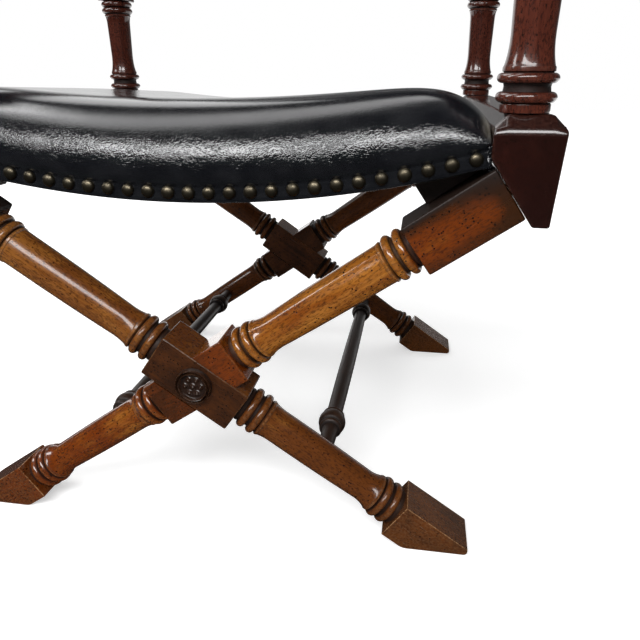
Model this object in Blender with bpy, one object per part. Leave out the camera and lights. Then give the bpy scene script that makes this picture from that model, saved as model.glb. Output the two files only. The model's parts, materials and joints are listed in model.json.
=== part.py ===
"""Directors chair: X frames, turned posts, a saddle seat and a leather back.

Metres, +Z up. The chair faces -Y, stands on z = 0 and is centred on the origin. Each X frame is a
half-lapped pair of turned legs. The rear frame is the front frame turned half round.
"""

import math
from typing import Callable, Sequence

import bmesh
import bpy
from mathutils import Matrix, Vector

# Clearances
GAP = 0.0003
CUT_OVER = 0.006

# Turned pieces
SEGMENTS = 12
STRETCHER_SEGMENTS = 10
BEAD_PITCH = 0.0118
BEAD_RISE = 0.0032

# X frames
LEG_STOCK = 0.050
LEG_ANGLE = math.radians(34.8)
CROSSING_Z = 0.182
FRAME_SPREAD = 0.512
CROSS_BLOCK = 0.106
LEG_UPPER = 0.357
TOP_BLOCK = 0.0935
FOOT_HEEL = 0.028
FOOT_WIDTH = 0.046
TOE_HEIGHT = 0.0075
BEAD_CORE_R = 0.0203
BEAD_OFFSET = 0.0098
NECK_OFFSET = 0.036
SHAFT_CROSSING_R = 0.0185
SHAFT_TOP_R = 0.0202
SHAFT_FOOT_R = 0.0170

# Rosettes and crossing screws
ROSETTE_R = 0.0195
ROSETTE_DEPTH = 0.0075
ROSETTE_PETALS = 8
CROSSING_SCREW_R = 0.0026
CROSSING_SCREW_LEN = 0.042
SCREW_HEAD_R = 0.005
SCREW_HEAD_H = 0.003

# Side stretchers
STRETCHER_ALONG_LEG = 0.159
STRETCHER_R = 0.0095
STRETCHER_TENON_R = 0.0080
STRETCHER_TENON_END = 0.006
STRETCHER_BULB_IN = 0.072
STRETCHER_BULB_R = 0.0160
STRETCHER_RING_R = 0.0135
STRETCHER_BULB_LEN = 0.018
STRETCHER_RING_LEN = 0.007

# Side rails, drawn on the end of the leg
RAIL_FACE_ABOVE = 0.0104
RAIL_FACE_BELOW = 0.0079
RAIL_INNER_H = 0.034
RAIL_TOP_W = 0.058
RAIL_FOOT_W = 0.0142
RAIL_CHAMFER = 0.011
RAIL_OVERHANG = 0.004
DOWEL_R = 0.006
DOWEL_IN_LEG = 0.040
DOWEL_IN_RAIL = 0.024

# Posts
POST_BLOCK = 0.044
POST_TENON_R = 0.011
POST_TENON_LEN = 0.024
POST_DRUM_R = 0.0203
POST_DRUM_H = 0.008
POST_BEAD_CORE_R = 0.0200
POST_BEAD_PITCH = 0.0145
POST_BEAD_RISE = 0.0045
POST_CAP_PITCH = 0.0095
POST_FOOT_R = 0.0172
POST_HEAD_R = 0.0185
POST_NECK = 0.012
POST_BLOCK_H = 0.048
POST_X_FROM_RAIL = 0.0255
FINIAL_R = 0.0185
FINIAL_H = 0.030

# Armrests
ARM_RISE = 0.191
ARM_THICK = 0.022
ARM_REAR_W = 0.042
ARM_FRONT_W = 0.064
ARM_NOSE = 0.050
ARM_EDGE_R = 0.006
ARM_TENON_R = 0.009
ARM_TENON_LEN = 0.014
ARM_DOWEL_R = 0.005
ARM_DOWEL_LEN = 0.036
ARM_SHOULDER = 0.002

# Seat
SEAT_EDGE_DROP = 0.0085
SEAT_SAG = 0.037
SEAT_THICK = 0.0915
SEAT_END_THICK = 0.0735
SEAT_SIDE_SHARE = 0.48
SEAT_SIDE_POWER = 11
SEAT_REAR_FALL = 0.23
SEAT_EDGE_R = 0.060
SEAT_EDGE_END_R = 0.046
SEAT_INSET = 0.002
LEATHER = 0.002
FRAME_INSET = 0.008
SEAT_RAIL_H = 0.0125
SEAT_RAIL_T = 0.022
DECK_T = 0.005
DUST_COVER_T = 0.0011
SEAT_BLOCK_LEN = 0.046
SEAT_BLOCK_SETBACK = 0.034
SEAT_BLOCK_OVERHANG = 0.025
SEAT_SCREW_R = 0.0020
SEAT_SCREW_IN_FRAME = 0.0095
SEAT_SCREW_SINK = 0.004
SEAT_STATIONS = 18
SEAT_PROFILE = 14

# Nails
NAIL_R = 0.0060
NAIL_RISE = 0.0032
NAIL_PITCH = 0.0194
NAIL_ABOVE_EDGE = 0.0095
TRIM_H = 0.0135
TRIM_T = 0.0010
BACK_NAIL_INSET = 0.020

# Back
BACK_H = 0.144
BACK_SAG = 0.022
BACK_BOARD_T = 0.018
BACK_PAD_T = 0.024
BACK_EDGE_R = 0.030
BACK_SIDE_SHARE = 0.62
BACK_FROM_POST = 0.006
BACK_CLEAR = 0.006
BACK_BOLT_R = 0.003
BACK_BOLT_HEAD_R = 0.0065
BACK_BOLT_HEAD_H = 0.0035
BACK_BOLT_IN = 0.022
BACK_BOLT_INSET = 0.036
BACK_STATIONS = 14
BACK_PROFILE = 8

# How a padded edge swells from its foot to its crown
EDGE_LEAN = 2.2
EDGE_SWELL = 2.6

# Derived places
COS, SIN = math.cos(LEG_ANGLE), math.sin(LEG_ANGLE)
HALF_STOCK = LEG_STOCK / 2
FRAME_Y = FRAME_SPREAD / 2
LEG_END_X = LEG_UPPER * COS
LEG_END_Z = CROSSING_Z + LEG_UPPER * SIN
FACE_UP = HALF_STOCK + RAIL_FACE_ABOVE
FACE_DOWN = HALF_STOCK + RAIL_FACE_BELOW
RAIL_INNER_X = LEG_END_X - FACE_UP * SIN
RAIL_ARRIS_Z = LEG_END_Z + FACE_UP * COS
RAIL_TOP_Z = RAIL_ARRIS_Z + RAIL_INNER_H
RAIL_BOTTOM_Z = LEG_END_Z - FACE_DOWN * COS
RAIL_BOTTOM_X = LEG_END_X + FACE_DOWN * SIN
RAIL_HALF = FRAME_Y + HALF_STOCK + RAIL_OVERHANG
POST_X = RAIL_INNER_X + POST_X_FROM_RAIL
ARM_Z = RAIL_TOP_Z + ARM_RISE
SEAT_HALF_X = RAIL_INNER_X - GAP
SEAT_HALF_Y = FRAME_Y + HALF_STOCK - SEAT_INSET
SEAT_EDGE_Z = RAIL_ARRIS_Z - SEAT_EDGE_DROP
REAR_BLOCK_TOP = ARM_RISE + ARM_THICK + ARM_SHOULDER
BACK_BOTTOM_RISE = REAR_BLOCK_TOP + POST_NECK / 2 + 2 * POST_CAP_PITCH + BACK_CLEAR
BACK_MID_Z = RAIL_TOP_Z + BACK_BOTTOM_RISE + BACK_H / 2
BACK_HALF_X = POST_X - POST_HEAD_R - GAP
BACK_END_Y = FRAME_Y - BACK_FROM_POST
STRETCHER_X = STRETCHER_ALONG_LEG * COS
STRETCHER_Z = CROSSING_Z - STRETCHER_ALONG_LEG * SIN

Ring = list[Vector]


def clear_scene() -> None:
    """Remove every object that is already in the scene."""
    for obj in list(bpy.data.objects):
        bpy.data.objects.remove(obj, do_unlink=True)


def material(name: str, colour: Sequence[float], roughness: float,
             metallic: float = 0.0) -> bpy.types.Material:
    """Return a Principled material with one colour."""
    mat = bpy.data.materials.new(name)
    mat.use_nodes = True
    shader = mat.node_tree.nodes["Principled BSDF"]
    shader.inputs["Base Color"].default_value = (*colour, 1.0)
    shader.inputs["Roughness"].default_value = roughness
    shader.inputs["Metallic"].default_value = metallic
    return mat


def empty(name: str, location: Sequence[float], turn: float = 0.0) -> bpy.types.Object:
    """Return an empty that carries a sub-assembly."""
    obj = bpy.data.objects.new(name, None)
    bpy.context.collection.objects.link(obj)
    obj.location = location
    obj.rotation_euler = (0.0, 0.0, turn)
    return obj


def mesh_from(name: str, bm: bmesh.types.BMesh, smooth: bool = False) -> bpy.types.Mesh:
    """Turn a bmesh into a mesh with its faces pointing out."""
    bmesh.ops.recalc_face_normals(bm, faces=bm.faces[:])
    mesh = bpy.data.meshes.new(name)
    bm.to_mesh(mesh)
    bm.free()
    if smooth:
        mesh.shade_smooth()
        mesh.set_sharp_from_angle(angle=math.radians(42))
    return mesh


def piece(name: str, mesh: bpy.types.Mesh, mat: bpy.types.Material | None,
          parent: bpy.types.Object | None = None, location: Sequence[float] = (0, 0, 0),
          rotation: Sequence[float] = (0, 0, 0)) -> bpy.types.Object:
    """Add one named object, and its material where the mesh has none."""
    obj = bpy.data.objects.new(name, mesh)
    bpy.context.collection.objects.link(obj)
    if mat is not None and not mesh.materials:
        mesh.materials.append(mat)
    obj.parent = parent
    obj.location = location
    obj.rotation_euler = rotation
    return obj


def as_cutter(obj: bpy.types.Object) -> bpy.types.Object:
    """Mark an object as a cutter, which is drawn as wire and never rendered."""
    obj.hide_render = True
    obj.display_type = 'WIRE'
    return obj


def cut(target: bpy.types.Object, *cutters: bpy.types.Object) -> None:
    """Cut a piece with each cutter in turn."""
    for cutter in cutters:
        mod = target.modifiers.new("cut_" + cutter.name, 'BOOLEAN')
        mod.operation = 'DIFFERENCE'
        mod.solver = 'EXACT'
        mod.object = cutter


def loft(rings: Sequence[Ring]) -> bmesh.types.BMesh:
    """Skin rings of equal length and close both ends."""
    bm = bmesh.new()
    rows = [[bm.verts.new(point) for point in ring] for ring in rings]
    for low, high in zip(rows, rows[1:]):
        for i in range(len(low)):
            j = (i + 1) % len(low)
            bm.faces.new((low[i], low[j], high[j], high[i]))
    bm.faces.new(rows[0])
    bm.faces.new(rows[-1])
    return bm


def section(along: float, half_a: float, half_b: float, is_round: bool, count: int,
            axis: str) -> Ring:
    """Return one ring, round or square, square to the given axis.

    The count is a multiple of four, so a square ring has a point on each corner.
    """
    ring = []
    for i in range(count):
        angle = 2 * math.pi * (i + 0.5) / count
        a, b = math.cos(angle), math.sin(angle)
        if not is_round:
            reach = max(abs(a), abs(b))
            a, b = a / reach, b / reach
        a, b = a * half_a, b * half_b
        ring.append(Vector((along, b, a)) if axis == 'X' else Vector((a, b, along)))
    return ring


def round_at(along: float, radius: float, axis: str = 'Z', count: int = SEGMENTS) -> Ring:
    """Return a round ring."""
    return section(along, radius, radius, True, count, axis)


def square_at(along: float, half_a: float, half_b: float, axis: str = 'Z') -> Ring:
    """Return a rectangular ring."""
    return section(along, half_a, half_b, False, SEGMENTS, axis)


def beads(first: float, count: int, pitch: float, core: float,
          rise: float) -> list[tuple[float, float]]:
    """Return the turned outline of touching beads, from the first bead's centre on."""
    outline = [(first - pitch / 2, core)]
    for i in range(count):
        centre = first + i * pitch
        outline += [(centre - pitch / 5, core + rise), (centre + pitch / 5, core + rise),
                    (centre + pitch / 2, core)]
    return outline


def rod(name: str, radius: float, start: float, end: float, head_r: float = 0.0,
        head_h: float = 0.0, count: int = SEGMENTS) -> bpy.types.Mesh:
    """Return a round rod along +Z, with a wider head at its start where asked."""
    rings = []
    if head_h > 0.0:
        rings += [round_at(start, head_r, count=count), round_at(start + head_h, head_r, count=count),
                  round_at(start + head_h, radius, count=count)]
    else:
        rings.append(round_at(start, radius, count=count))
    rings.append(round_at(end, radius, count=count))
    return mesh_from(name, loft(rings), smooth=True)


def box(name: str, low: Sequence[float], high: Sequence[float]) -> bpy.types.Mesh:
    """Return a box between two corners."""
    bm = bmesh.new()
    bmesh.ops.create_cube(bm, size=1.0)
    for vert in bm.verts:
        vert.co = Vector([lo if c < 0 else hi for c, lo, hi in zip(vert.co, low, high)])
    return mesh_from(name, bm)


def prism(name: str, outline: Sequence[tuple[float, float]], start: float,
          end: float) -> bpy.types.Mesh:
    """Return an outline in X and Z, extruded along Y."""
    return mesh_from(name, loft([[Vector((x, y, z)) for x, z in outline] for y in (start, end)]))


# Legs

def arm_outline(length: float, far_r: float) -> list[tuple[float, float]]:
    """Return one turned arm of a leg, from the crossing block to the far block."""
    core, pitch = BEAD_CORE_R, BEAD_PITCH
    near = [(0.0, core)] + beads(BEAD_OFFSET, 2, pitch, core, BEAD_RISE)
    near += [(NECK_OFFSET, SHAFT_CROSSING_R), (length / 2, (SHAFT_CROSSING_R + far_r) / 2),
             (length - NECK_OFFSET, far_r)]
    far = beads(length - BEAD_OFFSET - pitch, 2, pitch, core, BEAD_RISE)
    return near + far + [(length, core)]


def leg_mesh(name: str) -> bpy.types.Mesh:
    """Return a leg along +X, its foot at -X, its crossing at the origin and +Z its upper side."""
    heel = (CROSSING_Z - FOOT_WIDTH / 2 * COS) / SIN
    foot_start = heel - FOOT_HEEL
    past_floor = (CROSSING_Z + FOOT_WIDTH / 2 * COS) / SIN + CUT_OVER
    top_start = LEG_UPPER - TOP_BLOCK
    block = CROSS_BLOCK / 2
    lower = arm_outline(foot_start - block, SHAFT_FOOT_R)
    upper = arm_outline(top_start - block, SHAFT_TOP_R)
    rings = [square_at(-past_floor, FOOT_WIDTH / 2, HALF_STOCK, 'X'),
             square_at(-foot_start, FOOT_WIDTH / 2, HALF_STOCK, 'X')]
    rings += [round_at(-block - d, r, 'X') for d, r in reversed(lower)]
    rings += [square_at(s, HALF_STOCK, HALF_STOCK, 'X') for s in (-block, block)]
    rings += [round_at(block + d, r, 'X') for d, r in upper]
    rings += [square_at(s, HALF_STOCK, HALF_STOCK, 'X') for s in (top_start, LEG_UPPER - GAP)]
    bm = loft(rings)
    toe_along = (TOE_HEIGHT - CROSSING_Z - FOOT_WIDTH / 2 * COS) / SIN
    slice_off(bm, Vector((-CROSSING_Z / SIN, 0, 0)), Vector((-SIN, 0, -COS)))
    slice_off(bm, Vector((toe_along, 0, FOOT_WIDTH / 2)), Vector((-COS, 0, SIN)))
    return mesh_from(name, bm, smooth=True)


def slice_off(bm: bmesh.types.BMesh, point: Vector, outward: Vector) -> None:
    """Cut away what lies on the outward side of a plane, and close the cut."""
    geometry = bm.verts[:] + bm.edges[:] + bm.faces[:]
    cut_geometry = bmesh.ops.bisect_plane(bm, geom=geometry, plane_co=point, plane_no=outward,
                                          clear_outer=True, dist=1e-7)["geom_cut"]
    edges = [item for item in cut_geometry if isinstance(item, bmesh.types.BMEdge)]
    bmesh.ops.contextual_create(bm, geom=edges)


def rosette_mesh(name: str) -> bpy.types.Mesh:
    """Return a turned rosette along +Z with a ring of carved petals round a boss."""
    steps = ((1.0, 0.0, 0.0), (1.0, 0.35, 0.0), (0.93, 0.62, 0.0), (0.85, 0.70, 0.0),
             (0.77, 0.42, 0.0), (0.60, 0.62, 0.16), (0.38, 0.58, 0.16), (0.30, 0.55, 0.0),
             (0.24, 0.92, 0.0), (0.12, 1.0, 0.0))
    count = ROSETTE_PETALS * 3
    rings = []
    for share, height, petal in steps:
        ring = []
        for i in range(count):
            angle = 2 * math.pi * i / count
            lift = height + petal * math.cos(ROSETTE_PETALS * angle)
            radius = share * ROSETTE_R
            ring.append(Vector((radius * math.cos(angle), radius * math.sin(angle),
                                lift * ROSETTE_DEPTH)))
        rings.append(ring)
    return mesh_from(name, loft(rings), smooth=True)


def build_frame(side: str, carrier: bpy.types.Object, names: tuple[str, str],
                mats: dict[str, bpy.types.Material], meshes: dict[str, bpy.types.Mesh]
                ) -> dict[str, bpy.types.Object]:
    """Build one X frame on its carrier and return its legs.

    Args:
        side: "front" or "rear", used in names.
        carrier: the empty on the frame's centre plane; -Y there is the outer face.
        names: node names of the leg lapped at its outer half and at its inner half.
        mats: materials by name.
        meshes: shared meshes by name.

    Returns:
        The two legs, by node name.
    """
    at_crossing = (0.0, 0.0, CROSSING_Z)
    lean = {names[0]: (0.0, -LEG_ANGLE, 0.0), names[1]: (0.0, -LEG_ANGLE, math.pi)}
    legs = {name: piece(name, meshes["leg"], mats["leg_wood"], carrier, at_crossing, lean[name])
            for name in names}
    half = HALF_STOCK + GAP
    outer_half = box(side + "_lap_outer", (-LEG_STOCK * 1.5, -HALF_STOCK - CUT_OVER, -half),
                     (LEG_STOCK * 1.5, GAP / 2, half))
    inner_half = box(side + "_lap_inner", (-LEG_STOCK * 1.5, -GAP / 2, -half),
                     (LEG_STOCK * 1.5, HALF_STOCK + CUT_OVER, half))
    laps = (as_cutter(piece(side + "_lap_outer", outer_half, None, carrier, at_crossing,
                            (0, LEG_ANGLE, 0))),
            as_cutter(piece(side + "_lap_inner", inner_half, None, carrier, at_crossing,
                            (0, -LEG_ANGLE, 0))))
    outward = (math.pi / 2, 0.0, 0.0)
    inward = (-math.pi / 2, 0.0, 0.0)
    face = (0.0, -HALF_STOCK, CROSSING_Z)
    hole = rod(side + "_screw_hole", CROSSING_SCREW_R + GAP, -CUT_OVER, CROSSING_SCREW_LEN + GAP,
               SCREW_HEAD_R + GAP, CUT_OVER + SCREW_HEAD_H + GAP)
    screw_hole = as_cutter(piece(side + "_screw_hole", hole, None, carrier, face, inward))
    screw = rod(side + "_crossing_screw", CROSSING_SCREW_R, 0.0, CROSSING_SCREW_LEN, SCREW_HEAD_R,
                SCREW_HEAD_H)
    piece(side + "_crossing_screw", screw, mats["steel"], carrier, face, inward)
    piece(side + "_rosette", meshes["rosette"], mats["dark_wood"], carrier,
          (0.0, -HALF_STOCK - GAP, CROSSING_Z), outward)
    for index, (name, sign) in enumerate(zip(names, (-1, 1))):
        mortise = rod(name + "_mortise", STRETCHER_TENON_R + GAP, STRETCHER_TENON_END - GAP,
                      LEG_STOCK, count=STRETCHER_SEGMENTS)
        mortise_cut = as_cutter(piece(name + "_mortise", mortise, None, carrier,
                                      (sign * STRETCHER_X, 0.0, STRETCHER_Z), inward))
        bore = rod(name + "_dowel_hole", DOWEL_R + GAP, -DOWEL_IN_LEG - GAP, CUT_OVER)
        end = (-sign * LEG_END_X, 0.0, LEG_END_Z)
        turn = (0.0, -sign * (math.pi / 2 - LEG_ANGLE), 0.0)
        bore_cut = as_cutter(piece(name + "_dowel_hole", bore, None, carrier, end, turn))
        cut(legs[name], laps[index], screw_hole, mortise_cut, bore_cut)
    return legs


# Side rails, stretchers, dowels

def rail_outline(drop: float) -> list[tuple[float, float]]:
    """Return the right rail's section in X and Z, its top lowered by a drop."""
    outer = RAIL_INNER_X + RAIL_TOP_W
    edge = RAIL_TOP_Z - RAIL_CHAMFER
    return [(RAIL_INNER_X, RAIL_ARRIS_Z), (RAIL_INNER_X, edge),
            (RAIL_INNER_X + RAIL_CHAMFER, RAIL_TOP_Z - drop), (outer - RAIL_CHAMFER, RAIL_TOP_Z - drop),
            (outer, edge), (RAIL_BOTTOM_X + RAIL_FOOT_W, RAIL_BOTTOM_Z), (RAIL_BOTTOM_X, RAIL_BOTTOM_Z)]


def rail_mesh(name: str) -> bpy.types.Mesh:
    """Return the right rail, with its top chamfered along the sides and at both ends."""
    inner = RAIL_HALF - RAIL_CHAMFER
    slight = GAP
    stations = ((-RAIL_HALF, RAIL_CHAMFER - slight), (-inner, 0.0), (inner, 0.0),
                (RAIL_HALF, RAIL_CHAMFER - slight))
    rings = [[Vector((x, y, z)) for x, z in rail_outline(drop)] for y, drop in stations]
    return mesh_from(name, loft(rings))


def mirrored(mesh: bpy.types.Mesh, name: str) -> bpy.types.Mesh:
    """Return a copy of a right-hand mesh reflected to the left."""
    bm = bmesh.new()
    bm.from_mesh(mesh)
    bmesh.ops.transform(bm, matrix=Matrix.Scale(-1, 4, (1, 0, 0)), verts=bm.verts[:])
    return mesh_from(name, bm, smooth=any(face.use_smooth for face in mesh.polygons))


def stretcher_mesh(name: str) -> bpy.types.Mesh:
    """Return a stretcher along +Z: tenons, a ringed bulb near each end and a slim shaft."""
    half = FRAME_Y - STRETCHER_TENON_END
    bulb = FRAME_Y - STRETCHER_BULB_IN
    ring = STRETCHER_BULB_LEN / 2 + STRETCHER_RING_LEN / 2
    low = STRETCHER_R
    one = beads(bulb - ring, 1, STRETCHER_RING_LEN, low, STRETCHER_RING_R - low)
    one += beads(bulb, 1, STRETCHER_BULB_LEN, low + 0.001, STRETCHER_BULB_R - low - 0.001)[1:-1]
    one += beads(bulb + ring, 1, STRETCHER_RING_LEN, low, STRETCHER_RING_R - low)
    one += [(FRAME_Y - HALF_STOCK, STRETCHER_TENON_R), (half, STRETCHER_TENON_R)]
    outline = [(-z, r) for z, r in reversed(one)] + [(0.0, low + 0.0008)] + one
    return mesh_from(name, loft([round_at(z, r, count=STRETCHER_SEGMENTS) for z, r in outline]),
                     smooth=True)


# Posts and armrests

def post_base_outline() -> list[tuple[float, float]]:
    """Return a post's turning from the rail up to the foot of its shaft."""
    outline = [(GAP, POST_DRUM_R), (POST_DRUM_H, POST_DRUM_R)]
    outline += beads(POST_DRUM_H + POST_BEAD_PITCH / 2, 2, POST_BEAD_PITCH, POST_BEAD_CORE_R,
                     POST_BEAD_RISE)
    top = POST_DRUM_H + 2 * POST_BEAD_PITCH
    return outline + [(top + POST_NECK, POST_FOOT_R)]


def cap_outline(top: float) -> list[tuple[float, float]]:
    """Return the turning at the head of a shaft, ending in two beads under a block."""
    start = top - 2 * POST_CAP_PITCH
    return [(start - POST_NECK, POST_HEAD_R)] + beads(start + POST_CAP_PITCH / 2, 2, POST_CAP_PITCH,
                                                     POST_BEAD_CORE_R, POST_BEAD_RISE)


def post_rings(block_top: float) -> list[Ring]:
    """Return a post's rings from its tenon in the rail up to the top of its arm block."""
    block_low = ARM_RISE - POST_BLOCK_H
    rings = [round_at(-POST_TENON_LEN, POST_TENON_R), round_at(GAP, POST_TENON_R)]
    rings += [round_at(z, r) for z, r in post_base_outline() + cap_outline(block_low)]
    half = POST_BLOCK / 2
    return rings + [square_at(block_low, half, half), square_at(block_top, half, half)]


def front_post_mesh(name: str) -> bpy.types.Mesh:
    """Return a front post, its foot on the rail at z = 0 and its tenon up into the armrest."""
    rings = post_rings(ARM_RISE - GAP)
    rings += [round_at(ARM_RISE - GAP, ARM_TENON_R), round_at(ARM_RISE + ARM_TENON_LEN, ARM_TENON_R)]
    return mesh_from(name, loft(rings), smooth=True)


def rear_post_mesh(name: str) -> bpy.types.Mesh:
    """Return a rear post, which goes on above the arm block to carry the back."""
    rings = post_rings(REAR_BLOCK_TOP)
    start = REAR_BLOCK_TOP + POST_NECK / 2
    lower = [(REAR_BLOCK_TOP, POST_BEAD_CORE_R - 0.001)]
    lower += beads(start + POST_CAP_PITCH / 2, 2, POST_CAP_PITCH, POST_BEAD_CORE_R, POST_BEAD_RISE)
    shaft_low = BACK_BOTTOM_RISE - BACK_CLEAR / 2
    shaft_high = BACK_BOTTOM_RISE + BACK_H + BACK_CLEAR / 2
    upper = beads(shaft_high + BACK_CLEAR / 2 + POST_CAP_PITCH / 2, 2, POST_CAP_PITCH,
                  POST_BEAD_CORE_R, POST_BEAD_RISE)
    top = shaft_high + BACK_CLEAR / 2 + 2 * POST_CAP_PITCH
    rings += [round_at(z, r) for z, r in lower]
    rings += [round_at(shaft_low, POST_HEAD_R), round_at(shaft_high, POST_HEAD_R)]
    rings += [round_at(z, r) for z, r in upper]
    for share, radius in ((0.18, 0.62), (0.38, 0.92), (0.60, 1.0), (0.82, 0.84), (0.95, 0.50), (1.0, 0.2)):
        rings.append(round_at(top + share * FINIAL_H, radius * FINIAL_R))
    return mesh_from(name, loft(rings), smooth=True)


def armrest_mesh(name: str) -> bpy.types.Mesh:
    """Return a paddle armrest centred on x = 0, its underside at z = 0."""
    rear = FRAME_Y - POST_BLOCK / 2 - GAP
    nose_y = -RAIL_HALF + ARM_NOSE
    wide, slim = ARM_FRONT_W / 2, ARM_REAR_W / 2
    side = [(slim + (wide - slim) * 0.5 * (1 - math.cos(math.pi * k / 6)),
             rear + (nose_y - rear) * k / 6) for k in range(7)]
    nose = [(wide * math.cos(math.pi * k / 12), nose_y - ARM_NOSE * math.sin(math.pi * k / 12))
            for k in range(1, 12)]
    outline = side + nose + [(-x, y) for x, y in reversed(side)]
    rings = [[Vector((x, y, z)) for x, y in outline] for z in (0.0, ARM_THICK)]
    return mesh_from(name, loft(rings))


def soften_edges(obj: bpy.types.Object, width: float, segments: int) -> None:
    """Round the sharp edges of a piece."""
    mod = obj.modifiers.new("rounded_edges", 'BEVEL')
    mod.width = width
    mod.segments = segments
    mod.limit_method = 'ANGLE'
    mod.angle_limit = math.radians(50)


# Seat and back padding

def edge_rise(share: float) -> float:
    """Return how far a padded edge has risen, from 0 at its foot to 1 where it is full."""
    inward = min(max(share, 0.0), 1.0)
    return (1 - (1 - inward) ** EDGE_LEAN) ** (1 / EDGE_SWELL)


def end_rise(share: float, low: float, power: int) -> float:
    """Return the fullness towards a pad's ends, falling to low at share = 1."""
    return low + (1 - low) * math.sqrt(max(1 - min(abs(share), 1.0) ** power, 0.0))


def seat_low(x: float) -> float:
    """Return the height of the seat's lower edge, which sags between the rails."""
    return SEAT_EDGE_Z - SEAT_SAG * (1 - (x / SEAT_HALF_X) ** 2)


def seat_full(share: float) -> float:
    """Return the seat's thickness at its crown; share is -1 and 1 at its ends."""
    crown = SEAT_THICK + (SEAT_END_THICK - SEAT_THICK) * share ** 2
    return crown * (1 - (1 - SEAT_SIDE_SHARE) * abs(share) ** SEAT_SIDE_POWER)


def seat_lean(across: float) -> float:
    """Return the share of the seat's fullness that stands there; the seat is fullest at the front."""
    return 1 - SEAT_REAR_FALL * (1 + across) / 2


def seat_point(share: float, across: float, inset: float) -> Vector:
    """Return a point of the seat's skin, moved in by an inset; across is -1 at the front, 1 behind."""
    x = share * (SEAT_HALF_X - inset)
    roll = SEAT_EDGE_R + (SEAT_EDGE_END_R - SEAT_EDGE_R) * share ** 2
    edge = SEAT_HALF_Y * (1 - abs(across)) / roll
    rise = (seat_full(share) * seat_lean(across) - inset) * edge_rise(edge)
    return Vector((x, across * (SEAT_HALF_Y - inset), seat_low(x) + rise))


def back_rear(x: float) -> float:
    """Return the Y of the back's rear face, which bows away from the sitter."""
    return BACK_END_Y + BACK_SAG * (1 - (x / BACK_HALF_X) ** 2) + BACK_BOARD_T / 2


def back_full(share: float) -> float:
    """Return the back's thickness at its crown; share is -1 and 1 at its ends."""
    return (BACK_BOARD_T + BACK_PAD_T + 2 * LEATHER) * end_rise(share, BACK_SIDE_SHARE, 14)


def back_point(share: float, across: float, inset: float) -> Vector:
    """Return a point of the back's skin, moved in by an inset; across is -1 below, 1 above."""
    x = share * (BACK_HALF_X - inset)
    edge = BACK_H / 2 * (1 - abs(across)) / BACK_EDGE_R
    rise = (back_full(share) - inset) * edge_rise(edge)
    return Vector((x, back_rear(x) - rise, BACK_MID_Z + across * (BACK_H / 2 - inset)))


def spread(count: int, power: float) -> list[float]:
    """Return count + 1 places from -1 to 1, packed towards both ends."""
    places = [2 * k / count - 1 for k in range(count + 1)]
    return [math.copysign(1 - (1 - abs(p)) ** power, p) for p in places]


def split_quads(bm: bmesh.types.BMesh) -> None:
    """Split quads on one diagonal, so that a skin and its filling bend along the same lines."""
    quads = [face for face in bm.faces if len(face.verts) == 4]
    bmesh.ops.triangulate(bm, faces=quads, quad_method='FIXED')


def skin_mesh(name: str, stations: int, profile: int,
              point: Callable[[float, float, float], Vector]) -> bpy.types.Mesh:
    """Return a leather skin of one thickness, open where it meets its frame."""
    bm = bmesh.new()
    layers = []
    for inset in (0.0, LEATHER):
        layers.append([[bm.verts.new(point(share, across, inset))
                        for across in spread(profile, 2.2)] for share in spread(stations, 1.8)])
    for rows in layers:
        for low, high in zip(rows, rows[1:]):
            for j in range(profile):
                bm.faces.new((low[j], low[j + 1], high[j + 1], high[j]))
        bm.faces.new(rows[0])
        bm.faces.new(rows[-1])
    outer, inner = [[row[0] for row in rows] + [row[-1] for row in reversed(rows)] for rows in layers]
    for i in range(len(outer)):
        j = (i + 1) % len(outer)
        bm.faces.new((outer[i], outer[j], inner[j], inner[i]))
    split_quads(bm)
    return mesh_from(name, bm, smooth=True)


def foam_mesh(name: str, stations: int, profile: int,
              point: Callable[[float, float, float], Vector]) -> bpy.types.Mesh:
    """Return the filling of a skin, down to the skin's edge; its board is cut from it later."""
    inset = LEATHER + GAP
    rings = [[point(share, across, inset) for across in spread(profile, 2.2)]
             for share in spread(stations, 1.8)]
    bm = loft(rings)
    split_quads(bm)
    return mesh_from(name, bm, smooth=True)


def curved_slab(name: str, half_x: float, ys: tuple[float, float], low: float,
                high: float) -> bpy.types.Mesh:
    """Return a slab that follows the seat's sag, between two heights over its lower edge."""
    rings = []
    for share in spread(SEAT_STATIONS, 1.8):
        x = share * half_x
        base = seat_low(x)
        rings.append([Vector((x, ys[0], base + low)), Vector((x, ys[1], base + low)),
                      Vector((x, ys[1], base + high)), Vector((x, ys[0], base + high))])
    return mesh_from(name, loft(rings))


# Nail rows

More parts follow.
